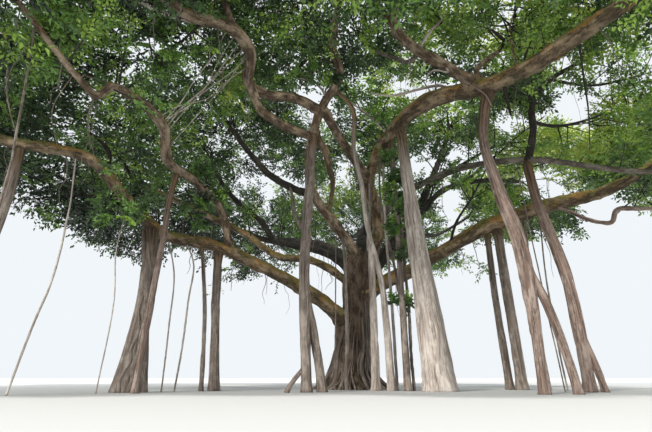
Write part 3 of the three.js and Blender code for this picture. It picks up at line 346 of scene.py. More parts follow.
TONE_MIDDLE = 2.3  # the usual leaf colour, as its place in the list of colours
TONE_PATCH, TONE_SCALE = 1.9, 0.42  # how strong the paler and darker patches are, and how many to a metre
TONE_ACROSS = 0.1  # how much paler the leaves get with each metre to the right
TONE_PAINTED_SUNLIGHT = 1.5  # painted light: how much paler they are in the sunlit spots
TONE_PAINTED_TOP_LIGHT = 0.9  # painted light: how much paler they are at the top of a mass than at its middle
TONE_SPREAD = 0.75
LEVEL = 0.55  # how much more a leaf's face keeps to upwards than to other ways
SPRAY_LENGTH = 0.66
SPRAY_SIZES = (0.8, 1.15)
SPRAY_KINDS = 12
SIDE_TWIGS = ((0.12, 0.9), (0.36, -0.95), (0.62, 0.8))  # the share and turn at which each starts
MAIN_LEAVES, SIDE_LEAVES = 10, 6
LEAF_LENGTH = 0.148
LEAF_SIZES = (0.7, 1.25)
LEAF_WIDTH = 0.58  # of its length

SPAN_STEPS = 24  # points on a line between two of its places
WAY_STEP = 0.004  # the share of a line over which its direction is read
GROUND_STEPS = 800
STEM_OVERLAP = 0.7  # the share of a stem at which the bough that goes on from it starts
RING_STEP = 0.05
CORNER_STEP = 0.034  # metres between the corners of a ring
FEWEST_SIDES, MOST_SIDES = 12, 44
VOXEL = 0.022  # metres, for fusing the trunk's stems and roots
TRUNK_RINGS, TRUNK_SIDES = 70, 96

# Side shoots on the boughs.
SHOOTS_PER_METRE = 0.7
FIRST_SHOOT = 0.3  # the share of its bough past which they grow
FIRST_SHOOTS = {"left_high": 0.6, "centre": 0.65, "left_low": 0.45}
BARE_BOUGHS = ("left_brace", "bridge")
LOWEST_SHOOT = 2.2
SHOOT_LENGTHS, SHOOT_RADII = (0.7, 1.9), (0.014, 0.03)
SHOOT_LEAF = 0.11
SHOOT_STEP, SHOOT_SIDES = 0.22, 4

# Roots that have grown onto the trunk: the least top, reach and radius, and how much more each may be.
STRANDS_ON_TRUNK = 44
STRAND_SIZES = ((1.2, 1.6), (0.85, 0.35), (0.035, 0.05))
STRAND_STEPS = 7
# Thin roots that hang round the trunk.
CURTAIN_ROOTS = 72
CURTAIN_TOPS, CURTAIN_REACHES = (0.9, 2.8), (0.8, 1.3)
CURTAIN_GAPS, CURTAIN_RADII = (0, 0.1), (0.012, 0.045)
# Thin roots on the prop roots, with radii as shares of the root's.
CLIMBING_STEPS = 12
CLIMBING_RADII = (0.12, 0.26)
CLIMBING_OUT = 0.93
# Thin roots that hang free.
HANGING_ROOTS = 100
HANGING_STEPS = 6
HANGING_LENGTHS, HANGING_RADII, LOWEST_HANGING = (0.3, 2), (0.006, 0.016), 1.2

FLOOR_REACH, FLOOR_SIDES = 220, 64
# Each lamp: its name, strength, the angle that it fills, its tilt and its turn, in degrees.
LAMPS = (("key", 3.0, 12, 66, -38), ("high", 2.6, 6, 38, 30))


def noise(points, seed):
    """Smooth random values from -1 to 1 at points, from hashed corners one unit apart."""
    cell = np.floor(points)
    rest = points - cell
    rest = rest * rest * (3 - 2 * rest)
    cell = cell.astype(np.int64)
    total = np.zeros(points.shape[:-1])
    for corner in itertools.product((0, 1), repeat=3):
        x, y, z = np.moveaxis(cell + corner, -1, 0)
        value = (x * 73856093 ^ y * 19349663 ^ z * 83492791 ^ seed * 2654435761) & 0xFFFFFFFF
        value = (value ^ value >> 13) * 1274126177 & 0xFFFFFFFF
        value = (value ^ value >> 16) & 0xFFFF
        total += (value / 32767.5 - 1) * np.prod(np.where(corner, rest, 1 - rest), axis=-1)
    return total


class Line:
    """A smooth line through places, read by shares of its length (a centripetal spline)."""

    def __init__(self, places, steps=SPAN_STEPS):
        p = np.array(places, float)
        p = np.vstack([2 * p[0] - p[1], p, 2 * p[-1] - p[-2]])
        gaps = np.sqrt(np.maximum(np.linalg.norm(np.diff(p, axis=0), axis=1), 1e-6))
        t = np.linspace(0, 1, steps, endpoint=False)[:, None]
        spans = []
        for i in range(1, len(p) - 2):
            before, here, after = gaps[i - 1:i + 2]
            a, b = p[i], p[i + 1]
            leave = ((a - p[i - 1]) / before - (b - p[i - 1]) / (before + here) + (b - a) / here) * here
            reach = ((b - a) / here - (p[i + 2] - a) / (here + after) + (p[i + 2] - b) / after) * here
            spans.append(a + leave * t + (3 * (b - a) - 2 * leave - reach) * t ** 2
                         + (2 * (a - b) + leave + reach) * t ** 3)
        self.points = np.vstack([*spans, p[-2:-1]])
        self.places = np.concatenate([[0], np.cumsum(np.linalg.norm(np.diff(self.points, axis=0), axis=1))])
        self.length = self.places[-1]

    def at(self, shares):
        place = np.asarray(shares, float) * self.length
        return np.stack([np.interp(place, self.places, self.points[:, k]) for k in range(3)], axis=-1)

    def way(self, shares):
        shares = np.asarray(shares, float)
        step = self.at(np.minimum(shares + WAY_STEP, 1)) - self.at(np.maximum(shares - WAY_STEP, 0))
        return step / np.linalg.norm(step, axis=-1, keepdims=True)


def along(radii):
    """A function of the share of a line's length that runs evenly through a list of radii."""
    return lambda shares: np.interp(shares, np.linspace(0, 1, len(radii)), radii)


def unit(vectors):
    return vectors / np.linalg.norm(vectors, axis=-1, keepdims=True)


def set_grain(mesh, grain):
    """The attributes that the bark materials read."""
    place = mesh.attributes.new("grain", "FLOAT_VECTOR", "POINT")
    place.data.foreach_set("vector", grain[:, :3].astype(np.float32).ravel())
    for column, name in ((3, "relief"), (4, "parent")):
        made = mesh.attributes.new(name, "FLOAT", "POINT")
        made.data.foreach_set("value", grain[:, column].astype(np.float32))


def in_scene(name, data):
    """A new object, linked to the scene."""
    made = bpy.data.objects.new(name, data)
    bpy.context.scene.collection.objects.link(made)
    return made


class Build:
    """Corners, faces and the grain of one piece, collected and then made into a mesh.

    The grain's five columns are the place round and along the limb, how far its relief stands out, and
    how near its parent is.
    """

    def __init__(self):
        self.corners, self.grain, self.faces, self.finishes = [], [], [], []
        self.count = 0

    def add(self, corners, faces, grain=None, finish=0):
        """faces is a list of arrays of corner numbers, each array with one count of corners a face."""
        corners = corners.reshape(-1, 3)
        self.corners.append(corners)
        self.grain.append(np.pad(corners, ((0, 0), (0, 2))) if grain is None else grain.reshape(-1, 5))
        for rows in faces:
            self.faces.append(rows + self.count)
            self.finishes.append(np.full(len(rows), finish))
        self.count += len(corners)

    def add_tube(self, line, radius_at, step, sides, relief=None, seed=0, wander=0.0, grounded=False):
        """Adds a tube round a line. grounded keeps it from going under the ground."""
        corners, grain = tube(line, radius_at, step, sides, relief, seed, wander=wander)
        if grounded:
            corners[..., 2] = np.maximum(corners[..., 2], 0)
        self.add(corners, skin(len(corners), sides), grain)

    def piece(self, name, materials, bark=True):
        corners = np.vstack(self.corners)
        sizes = np.concatenate([np.full(len(rows), rows.shape[1]) for rows in self.faces])
        mesh = bpy.data.meshes.new(name)
        mesh.vertices.add(len(corners))
        mesh.vertices.foreach_set("co", corners.astype(np.float32).ravel())
        mesh.loops.add(int(sizes.sum()))
        numbers = np.concatenate([rows.ravel() for rows in self.faces])
        mesh.loops.foreach_set("vertex_index", numbers.astype(np.int32))
        mesh.polygons.add(len(sizes))
        starts = np.concatenate([[0], np.cumsum(sizes)[:-1]])
        mesh.polygons.foreach_set("loop_start", starts.astype(np.int32))
        mesh.polygons.foreach_set("material_index", np.concatenate(self.finishes).astype(np.int32))
        mesh.polygons.foreach_set("use_smooth", np.full(len(sizes), bark))
        mesh.update(calc_edges=True)
        if bark:
            set_grain(mesh, np.vstack(self.grain))
        for material in materials:
            mesh.materials.append(material)
        return in_scene(name, mesh)


def skin(rings, sides):
    """The quads between rings of corners, and the two ends."""
    first = np.arange(rings - 1)[:, None] * sides
    here, following = np.arange(sides), (np.arange(sides) + 1) % sides
    quads = np.stack([first + here, first + following, first + sides + following, first + sides + here], -1)
    ends = np.stack([here[::-1], (rings - 1) * sides + here])
    return [quads.reshape(-1, 4), ends]


def turns(count):
    """Angles spread evenly over a full turn."""
    return np.arange(count) * 2 * math.pi / count


def square_to(ways):
    """Two directions square to each of the ways, carried along without a twist."""
    across = np.cross(ways[0], UP if abs(ways[0][2]) < 0.9 else SIDEWAYS)
    rows = []
    for way in ways:
        across = across - way * across.dot(way)
        across = across / np.linalg.norm(across)
        rows.append(across)
    rows = np.array(rows)
    return rows, np.cross(ways, rows)


def tube(line, radius_at, step, sides, relief=None, seed=0, last=1.0, wander=0.0):
    """Rings round a line, and their grain: the place round and along the limb, in metres.

    wander is how far the rings' middles stray from the line, as a share of their radius.
    """
    rings = max(2, math.ceil(line.length * last / step)) + 1
    shares = np.linspace(0, last, rings)
    across, upright = square_to(line.way(shares))
    turn = turns(sides)
    cos, sin = np.cos(turn)[None, :], np.sin(turn)[None, :]
    radius = np.repeat(radius_at(shares)[:, None], sides, axis=1)
    length = np.repeat(shares[:, None] * line.length, sides, axis=1)
    grain = np.stack([radius * cos, radius * sin, length], -1)
    raised = relief(grain, radius, seed) if relief else np.zeros_like(radius)
    radius = radius * (1 + raised)
    grain = np.concatenate([grain, raised[..., None], np.zeros_like(raised)[..., None]], axis=-1)
    out = across[:, None] * cos[..., None] + upright[:, None] * sin[..., None]
    middle = line.at(shares)
    if wander:
        size = radius_at(shares)[:, None]
        stray = np.stack([noise(np.stack([shares * line.length * 0.9, np.full(rings, 7.3 * k)], -1)
                                @ np.eye(2, 3), seed + k) for k in range(3)], -1)
        middle = middle + stray * size * wander
    return middle[:, None] + out * radius[..., None], grain


def sides_for(radius):
    return int(np.clip(2 * math.pi * radius / CORNER_STEP, FEWEST_SIDES, MOST_SIDES))


def bough_relief(grain, radius, seed):
    """Swellings, shallow flutes and wrinkles of a bough, as shares of its radius."""
    round_it = grain / radius[..., None]
    swell = 0.14 * noise(round_it * [0.9, 0.9, 0.5], seed)
    flutes = 0.08 * noise(round_it * [2, 2, 0.3], seed + 1)
    lumps = 0.06 * noise(round_it * [2.6, 2.6, 1.6], seed + 2)
    knots = 0.3 * np.maximum(noise(round_it * [1.3, 1.3, 0.8], seed + 4) - 0.45, 0)
    wrinkles = 0.02 * noise(grain * [24, 24, 16], seed + 3)
    return swell + flutes + lumps + knots + wrinkles


def root_relief(grain, radius, seed):
    """The long upright folds of a prop root, which is many roots grown into one."""
    round_it = grain / radius[..., None]
    folds = 0.07 - 0.24 * np.exp(-np.abs(noise(round_it * [1.3, 1.3, 0.1], seed)) * 8)
    flutes = 0.07 * noise(round_it * [3.1, 3.1, 0.2], seed + 1)
    swell = 0.08 * noise(round_it * [0.7, 0.7, 0.4], seed + 2)
    wrinkles = 0.015 * noise(grain * [30, 30, 6], seed + 3)
    return folds + flutes + swell + wrinkles


def swelling(distance, radius, parent_radius):
    """How much a limb swells, as a share of its radius, round the place where it leaves its parent."""
    swell = JOIN_SWELL * np.clip(parent_radius / radius - SLIM_PARENT, 0, 1)
    return swell * np.exp(-(((distance - parent_radius) / (JOIN_REACH * radius)) ** 2))


def collared(line, radii, parent_radius):
    """A bough's radius, which swells into a collar where it leaves its parent's surface."""
    base = along(radii)
    return lambda shares: base(shares) * (1 + swelling(shares * line.length, radii[0], parent_radius))


def footed(line, radii, parent_radius):
    """A prop root's radius, which swells into its foot, and where it leaves its bough."""
    base = along(radii)

    def radius_at(shares):
        height = np.maximum(line.at(shares)[..., 2], 0)
        foot = FOOT_FLARE * np.exp(-height / (FOOT_REACH * radii[-1]))
        return base(shares) * (1 + foot + swelling(shares * line.length, radii[0], parent_radius))
    return radius_at


def trunk_radius(height, turn):
    flare = FLARE * np.exp(-height / FLARE_REACH)
    taper = TAPER * (height / TRUNK_TOP) ** 2
    lobe = LOBE_DEPTH * np.cos(LOBES * turn + height)
    return WAIST * (1 + flare + lobe - taper)


def outwards(turn):
    return np.array([math.cos(turn), math.sin(turn), 0])


def on_trunk(turn, height, inset):
    """A place under the trunk's surface."""
    radius = trunk_radius(height, turn) - inset
    middle = lines["core"].at(height / TRUNK_TOP)
    return np.array([middle[0] + radius * math.cos(turn), middle[1] + radius * math.sin(turn), height])


def root_line(start, via, foot):
    return Line([start, *via, [*foot, 0], [*foot, -BURIED]])


def ground_share(line):
    """The share of a root's line at which it reaches the ground."""
    shares = np.linspace(0, 1, GROUND_STEPS)
    return shares[np.argmax(line.at(shares)[:, 2] <= 0)]


lines = {"core": Line(TRUNK_AXIS)}
radius_of = {"core": along([WAIST, WAIST * (1 - TAPER)])}
for name, (via, radii) in STEMS.items():
    lines[name] = Line(via)
    radius_of[name] = along(radii)
for name, (on, via, radii, _, *to) in BOUGHS.items():
    ends = [lines[to[0][0]].at(to[0][1])] if to else []
    lines[name] = Line([lines[on[0]].at(on[1]), *via, *ends])
    goes_on = on[0] in STEMS and on[1] == 1
    radius_of[name] = along(radii) if goes_on else collared(lines[name], radii, radius_of[on[0]](on[1]))
for name, (on, via, radii, *_) in THIN_LIMBS.items():
    lines[name] = Line([lines[on[0]].at(on[1]), *via])
    radius_of[name] = along(radii)
root_parts = {}
for name, (on, via, foot, radii, legs) in PROPS.items():
    main = root_line(lines[on[0]].at(on[1]), via, foot)
    lines[name] = main
    root_parts[name] = [(main, footed(main, radii, radius_of[on[0]](on[1])), radii)]
    for share, leg_via, leg_foot, leg_radii in legs:
        leg = root_line(main.at(share), leg_via, leg_foot)
        root_parts[name].append((leg, footed(leg, leg_radii, along(radii)(share)), leg_radii))


def add_camera():
    data = bpy.data.cameras.new("camera")
    data.sensor_width = SENSOR_MM
    data.lens = SENSOR_MM * FOCAL_PIXELS / PHOTO_SIZE[0]
    data.clip_end = CLIP_END
    camera = in_scene("camera", data)
    camera.location = CAMERA_PLACE
    camera.rotation_euler = (math.pi / 2 + CAMERA_PITCH, 0, 0)
    bpy.context.scene.camera = camera


def to_photo(points):
    """The pixels of the photograph at which points show."""
    x, y, z = np.moveaxis(points - CAMERA_PLACE, -1, 0)
    forward = y * math.cos(CAMERA_PITCH) + z * math.sin(CAMERA_PITCH)
    above = z * math.cos(CAMERA_PITCH) - y * math.sin(CAMERA_PITCH)
    forward = np.where(forward < 0.1, np.nan, forward)
    return np.stack([PHOTO_SIZE[0] / 2 + FOCAL_PIXELS * x / forward,
                     PHOTO_SIZE[1] / 2 - FOCAL_PIXELS * above / forward], axis=-1)


add_camera()


def colour(code):
    """A linear colour from a code such as 8a7b66."""
    parts = [int(code[i:i + 2], 16) / 255 for i in (0, 2, 4)]
    return (*[p / 12.92 if p <= 0.04045 else ((p + 0.055) / 1.055) ** 2.4 for p in parts], 1)


class Nodes:
    """A material's node tree, with short calls for what the barks share."""

    def __init__(self, name):
        self.material = bpy.data.materials.new(name)
        self.material.use_nodes = True
        self.tree = self.material.node_tree
        self.shader = self.tree.nodes["Principled BSDF"]

    def link(self, source, target):
        self.tree.links.new(source, target)

    def node(self, kind, inputs=(), **settings):
        made = self.tree.nodes.new(kind)
        for key, value in settings.items():
            setattr(made, key, value)
        for key, value in dict(inputs).items():
            if isinstance(value, bpy.types.NodeSocket):
                self.link(value, made.inputs[key])
            else:
                made.inputs[key].default_value = value
        return made

    def attribute(self, name, output):
        return self.node("ShaderNodeAttribute", attribute_name=name).outputs[output]

    def noise(self, vector, stretch, detail=6, roughness=0.6):
        mapped = self.node("ShaderNodeMapping", {"Vector": vector, "Scale": stretch})
        return self.node("ShaderNodeTexNoise", {"Vector": mapped.outputs[0], "Scale": 1.0, "Detail": detail,
                                                "Roughness": roughness}).outputs["Fac"]

    def steps(self, value, low, high):
        inputs = {"Value": value, "From Min": low, "From Max": high}
        return self.node("ShaderNodeMapRange", inputs).outputs[0]

    def mix(self, factor, a, b):
        return self.node("ShaderNodeMix", {0: factor, 6: a, 7: b}, data_type="RGBA").outputs[2]

    def plus(self, a, b):
        return self.node("ShaderNodeMath", {0: a, 1: b}, operation="ADD").outputs[0]

    def times(self, a, b):
        return self.node("ShaderNodeMath", {0: a, 1: b}, operation="MULTIPLY").outputs[0]


# The second colour is painted shade, laid on the undersides of the boughs.
PARENT_DEEP, UNDERSIDE_SHADE = "33291e", "2c2617"
LICHEN = ("cc9440", "9c7a48")
MOSS = ("59602a", "a09c48")


def bark(name, deep, middle, pale, moss=0.0, lichen=0.0, across=0.0, relief=0.04, patchy=0.5, folds=0.3,
         shade=0.0, parent=None):
    """Bark in three tones: streaked along the limb, with pale patches, and painted shade in its folds.

    patchy is how strong the patches and specks are, and folds how dark the painted shade in the hollows is.
    moss and lichen grow most on what faces up. across is how much of the streaks and the bump is wrinkles
    round the limb in place of folds along it. shade is how dark the painted shade on the undersides is, and
    parent the tone that it takes near the limb that it leaves.
    """
    n = Nodes(name)
    grain = n.attribute("grain", "Vector")
    raised = n.attribute("relief", "Fac")
    streaks = n.noise(grain, (26, 26, 1.1 + 7 * across))
    patches = n.noise(grain, (3.2, 3.2, 1.6), detail=8, roughness=0.7)
    fine = n.noise(grain, (70, 70, 36), detail=4)
    wrinkles = n.noise(grain, (8, 8, 44), detail=5)
    tone = n.mix(n.steps(streaks, 0.34, 0.66), colour(deep), colour(middle))
    tone = n.mix(n.times(n.steps(patches, 0.46, 0.6), patchy), tone, colour(pale))
    tone = n.mix(n.times(n.steps(wrinkles, 0.5, 0.64), 0.5 * across), tone, colour(deep))
    tone = n.mix(n.times(n.steps(fine, 0.52, 0.68), 0.45 * patchy), tone, colour(deep))
    # painted shade: the bark is darkened where its relief sinks into hollows, as much as folds says
    tone = n.mix(n.times(n.steps(raised, -0.06, -0.26), folds), tone, colour(deep))
    if parent:
        near = n.steps(n.plus(n.attribute("parent", "Fac"), n.times(patches, 0.6)), 0.55, 1.0)
        tone = n.mix(near, tone, n.mix(n.steps(streaks, 0.4, 0.6), colour(PARENT_DEEP), colour(parent)))
    normal = n.node("ShaderNodeNewGeometry").outputs["Normal"]
    facing = n.node("ShaderNodeSeparateXYZ", {0: normal}).outputs[2]
    height = n.plus(n.times(streaks, 1 - across), n.times(wrinkles, across))
    height = n.plus(height, n.times(fine, 0.4))
    # painted shade: the undersides are darkened as far as they face down
    if shade:
        tone = n.mix(n.times(n.steps(facing, -0.15, -0.95), shade), tone, colour(UNDERSIDE_SHADE))
    if lichen:
        place = n.noise(grain, (2.4, 2.4, 1.5), detail=8, roughness=0.75)
        cover = n.steps(n.plus(n.times(facing, 0.12), place), 0.68 - 0.16 * lichen, 0.76 - 0.16 * lichen)
        orange = n.mix(n.steps(fine, 0.42, 0.6), *map(colour, LICHEN))
        tone = n.mix(n.times(cover, 0.75), tone, orange)
    if moss:
        place = n.noise(grain, (3.4, 3.4, 2.4), detail=8, roughness=0.75)
        cover = n.steps(n.plus(n.times(facing, 0.16), place), 0.77 - 0.24 * moss, 0.9 - 0.24 * moss)
        green = n.mix(n.steps(fine, 0.4, 0.6), *map(colour, MOSS))
        tone = n.mix(n.times(cover, 0.8), tone, green)
        height = n.plus(height, n.times(cover, 0.5))
    n.link(tone, n.shader.inputs["Base Color"])
    n.link(n.node("ShaderNodeMapRange", {"Value": fine, "To Min": 0.7, "To Max": 0.95}).outputs[0],
           n.shader.inputs["Roughness"])
    bump = n.node("ShaderNodeBump", {"Height": height, "Distance": relief, "Strength": 1.0})
    n.link(bump.outputs[0], n.shader.inputs["Normal"])
    return n.material


BARKS = {
    "trunk": bark("bark_trunk", "1e1813", "6a5746", "a28d78", moss=0.4, relief=0.05, folds=0.9),
    "mossy": bark("bark_mossy_bough", "2f261b", "7c6850", "c8b090", moss=1.1, lichen=1.1, across=0.6,
                  patchy=0.9, shade=0.5),
    "brown": bark("bark_brown_bough", "33281e", "86705a", "cdb89e", moss=0.6, lichen=0.7, across=0.6,
                  patchy=0.9, shade=0.4),
    "dark": bark("bark_dark_bough", "14120f", "35302a", "5c554b", moss=0.4, across=0.5),
    "grey": bark("bark_grey_bough", "332e28", "726a5e", "aca597", moss=0.4, across=0.5),
    "prop": bark("bark_prop_root", "463c35", "908379", "c2b7ac", folds=0.75, relief=0.02, parent="77634b"),
    "pale": bark("bark_pale_root", "74675e", "c8bdb4", "f0e8e0", folds=0.8, relief=0.02, parent="8a745a"),
    "red": bark("bark_rosy_root", "46362e", "9a8478", "c4b4aa", folds=0.8, relief=0.02, parent="735a42"),
    "twig": bark("bark_twig", "1c1814", "3a342c", "565046", relief=0.006),
}
PALE_ROOTS = ("prop_right_pale", "prop_pair", "root_hanging_long")
RED_ROOTS = ("prop_right_fork", "prop_right_far", "prop_left_lean")
LONG_CHANGE = (*RED_ROOTS, "prop_pair", "prop_right_pale")

# Leaf colours from dark to pale, dealt out by spray: their own colours, plus painted light and painted
# shade.
LEAF_TONES_WITH_PAINTED_LIGHT = ["1f2e1d", "32482a", "4b6838", "698f41", "90b24a", "bacb60"]


# One plain leaf material for each tone: the paler ones carry painted light, the darker ones painted shade.
def leaf_material(step, code):
    n = Nodes(f"leaf_{step}")
    n.shader.inputs["Base Color"].default_value = colour(code)
    n.shader.inputs["Roughness"].default_value = 0.36
    return n.material


LEAVES = [leaf_material(step, code) for step, code in enumerate(LEAF_TONES_WITH_PAINTED_LIGHT)]


def dress(piece, slot, *nodes):
    """A piece of the tree that stands for CAD nodes."""
    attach(piece, "root")
    if nodes:
        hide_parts(*nodes)


def fused(piece, name):
    """A copy of a piece with its overlapping bodies fused into one skin and smoothed."""
    remesh = piece.modifiers.new("fuse", "REMESH")
    remesh.mode = "VOXEL"
    remesh.voxel_size = VOXEL
    smooth = piece.modifiers.new("smooth", "SMOOTH")
    smooth.factor = 0.5
    smooth.iterations = 4
    evaluated = piece.evaluated_get(bpy.context.evaluated_depsgraph_get())
    mesh = bpy.data.meshes.new_from_object(evaluated)
    mesh.name = name
    bpy.data.objects.remove(piece)
    return in_scene(name, mesh)


def strand(build, turn, top, reach, radius, seed):
    """A root that has grown onto the trunk: it wanders down its side and out onto the ground."""
    heights = np.linspace(top, 0.12, STRAND_STEPS)
    drift = 0.22 * noise(np.stack([heights * 0.9, 0 * heights + seed * 1.7, 0 * heights], -1), seed)
    places = [on_trunk(turn + d, h, radius * 0.25) for d, h in zip(drift, heights)]
    places.append(outwards(turn) * reach - UP * 0.04)
    build.add_tube(Line(places), along([radius * 0.6, radius, radius, radius * 1.3]), RING_STEP, 10)


def make_trunk():
    """The lobed body, its buttresses, stems and strands of root, fused, with flutes cut in."""
    build = Build()
    heights = np.linspace(-0.06, TRUNK_TOP, TRUNK_RINGS)
    rings = np.array([[on_trunk(turn, max(height, 0), 0) for turn in turns(TRUNK_SIDES)]
                      for height in heights])
    rings[..., 2] = heights[:, None]
    build.add(rings, skin(TRUNK_RINGS, TRUNK_SIDES))
    for name in STEMS:
        radius_at = lambda shares: radius_of[name](shares) * (1 - np.maximum(shares - 0.75, 0))
        build.add_tube(lines[name], radius_at, RING_STEP, 32, bough_relief, len(name))
    for turn, top, reach in BUTTRESSES:
        angle = math.radians(turn)
        out = outwards(angle)
        down = [out * (trunk_radius(top * share, angle) - BUTTRESS_INSET) + UP * top * share
                for share in BUTTRESS_BENDS]
        line = Line([*down, out * reach - UP * BUTTRESS_RADIUS[1]])
        build.add_tube(line, along(BUTTRESS_RADIUS), RING_STEP, 16)
    random = np.random.default_rng(5)
    for i in range(STRANDS_ON_TRUNK):
        turn = 2 * math.pi * (i + 0.6 * random.random()) / STRANDS_ON_TRUNK
        strand(build, turn, *[least + more * random.random() for least, more in STRAND_SIZES], i)
    made = fused(build.piece("trunk_parts", []), "trunk_bark")
    mesh = made.data
    count = len(mesh.vertices)
    corners, normals = np.empty(count * 3, np.float32), np.empty(count * 3, np.float32)
    mesh.vertices.foreach_get("co", corners)
    mesh.vertex_normals.foreach_get("vector", normals)
    corners, normals = corners.reshape(-1, 3).astype(float), normals.reshape(-1, 3)
    depth = 0.022 * noise(corners * [7, 7, 1.1], 3) + 0.012 * noise(corners * [17, 17, 3], 4)
    corners += normals * depth[:, None]
    corners[:, 2] = np.maximum(corners[:, 2], 0)
    mesh.vertices.foreach_set("co", corners.astype(np.float32).ravel())
    set_grain(mesh, np.column_stack([corners, depth * 8, np.zeros(count)]))
    mesh.materials.clear()
    mesh.materials.append(BARKS["trunk"])
    mesh.polygons.foreach_set("use_smooth", np.full(len(mesh.polygons), True))
    mesh.update()
    dress(made, "bark_trunk", "trunk")


def make_curtain():
    """Thin pale roots that hang down the trunk's sides and stand out from it at the ground."""
    random = np.random.default_rng(91)
    build = Build()
    for i in range(CURTAIN_ROOTS):
        turn = 2 * math.pi * (i + random.random()) / CURTAIN_ROOTS
        top = random.uniform(*CURTAIN_TOPS)
        reach = random.uniform(*CURTAIN_REACHES)
        away = random.uniform(*CURTAIN_GAPS)
        out = outwards(turn)
        places = [on_trunk(turn, top, 0.02)]
        for share in (0.75, 0.5, 0.25):
            spot = on_trunk(turn + random.uniform(-0.12, 0.12), top * share, 0)
            places.append(spot + out * away * (1.4 - share))
        places += [out * reach + UP * 0.03, out * (reach + 0.25) - UP * 0.06]
        thin = random.uniform(*CURTAIN_RADII)
        build.add_tube(Line(places, steps=8), along([thin * 0.6, thin, thin * 1.3]), 0.06, 8, grounded=True)
    dress(build.piece("trunk_curtain_roots", [BARKS["prop"]]), "bark_prop")


def parent_radius(limb):
    on, share = limb[0]
    return radius_of[on](share)


def necked(line, radius_at, inside):
    """A limb's radius, thin where it starts inside its parent."""
    slope = (1 - NECK) * line.length / (NECK_REACH * inside)
    return lambda shares: radius_at(shares) * np.clip(NECK + slope * shares, 0, 1)


def make_bough(name, seed):
    on, _, radii, kind = BOUGHS[name][:4]
    build = Build()
    line, radius_at = lines[name], radius_of[name]
    if on[1] == 1:
        stem = lines[on[0]]
        lead = stem.length * (1 - STEM_OVERLAP)
        line = Line([*stem.at([STEM_OVERLAP, (1 + STEM_OVERLAP) / 2]), *line.points[::SPAN_STEPS]])
        own, whole = lines[name].length, line.length
        radius_at = lambda shares: radius_of[name](np.clip((shares * whole - lead) / own, 0, 1))
    else:
        radius_at = necked(line, radius_at, parent_radius(BOUGHS[name]))
    build.add_tube(line, radius_at, RING_STEP, sides_for(max(radii)), bough_relief, seed, wander=0.22)
    solids = [f"bough_{name}_inner", f"bough_{name}_outer"] if name in SPLIT_BOUGHS else [f"bough_{name}"]
    dress(build.piece(f"{name}_bark", [BARKS[kind]]), "bark_bough", *solids)


def climbing_roots(build, line, radius_at, radii, seed):
    """Thin roots that have grown down a prop root, half sunk in it."""
    random = np.random.default_rng(seed)
    last = ground_share(line)
    for _ in range(3 if max(radii) > 0.1 else 1):
        shares = np.linspace(random.uniform(0.02, 0.5) * last, last, CLIMBING_STEPS)
        across, upright = square_to(line.way(shares))
        turn = random.uniform(0, 2 * math.pi) + np.cumsum(random.uniform(-0.35, 0.35, CLIMBING_STEPS))
        out = across * np.cos(turn)[:, None] + upright * np.sin(turn)[:, None]
        thin = random.uniform(*CLIMBING_RADII) * np.mean(radii) + 0.008
        path = Line(line.at(shares) + out * (radius_at(shares) * CLIMBING_OUT)[:, None])
        build.add_tube(path, along([thin * 0.5, thin, thin]), 0.07, 8, grounded=True)


def make_prop(name, seed):
    build = Build()
    kind = "pale" if name in PALE_ROOTS else "red" if name in RED_ROOTS else "prop"
    for i, (line, radius_at, radii) in enumerate(root_parts[name]):
        sides = sides_for(max(radii) * 1.2)
        last = ground_share(line)
        inside = parent_radius(PROPS[name]) if i == 0 else radii[0]
        corners, grain = tube(line, necked(line, radius_at, inside), RING_STEP, sides, root_relief,
                              seed + 10 * i, last)
        corners[..., 2] = np.maximum(corners[..., 2], 0)
        corners[-1, :, 2] = 0
        if i == 0:
            fallen = lines[name].at(0)[2] - corners[..., 2]
            grain[..., 4] = np.exp(-fallen / (LONG_REACH if name in LONG_CHANGE else PARENT_REACH))
        build.add(corners, skin(len(corners), sides), grain)
        climbing_roots(build, line, radius_at, radii, seed + i)
    dress(build.piece(f"{name}_bark", [BARKS[kind]]), "bark_prop", name)


limb_places, limb_radii = [], []


def sample(line, radius_at):
    shares = np.linspace(0, 1, math.ceil(line.length / SAMPLE_STEP) + 1)
    limb_places.append(line.at(shares))
    limb_radii.append(radius_at(shares))


def oval_distance(name, points):
    centre, size = MASSES[name]
    return np.linalg.norm((points - np.array(centre)) / np.array(size), axis=-1)


def in_own_space(name, points):
    own = oval_distance(name, points)
    free = own <= 1
    for other in MASSES:
        if other != name:
            free &= oval_distance(other, points) > own + SPACE_MARGIN
    return free


def clear_of_limbs(points, reach):
    gaps = np.linalg.norm(points[:, None] - limb_places[None], axis=-1) - limb_radii
    return gaps.min(axis=1) > reach + CLEAR


def in_box(points):
    low, high = np.array(CAD_BOX[0]), np.array(CAD_BOX[1])
    room = (high - low) * BOX_SHARE - OVERHANG
    return np.all((points > low - room) & (points < high + room), axis=-1)


# Where the photograph shows sky through the crown: the middle and half sizes of each gap, in pixels,
# and the noise above which it is open.
SKY_GAPS = [
    (322, 262, 18, 26, -1), (224, 262, 14, 10, -1), (265, 196, 8, 24, -1), (356, 150, 7, 10, -1),
    (610, 210, 38, 26, -1), (600, 252, 46, 18, -1), (492, 250, 26, 14, -1), (342, 172, 9, 22, -1),
    (505, 62, 14, 9, -1), (645, 26, 16, 14, -1), (268, 42, 10, 20, -0.2), (340, 30, 4, 26, -0.3),
    (592, 85, 70, 52, -0.1), (575, 122, 30, 12, -0.3), (455, 205, 44, 26, -0.05), (508, 122, 26, 14, -0.15),
]
GAP_SCALE = 17  # pixels
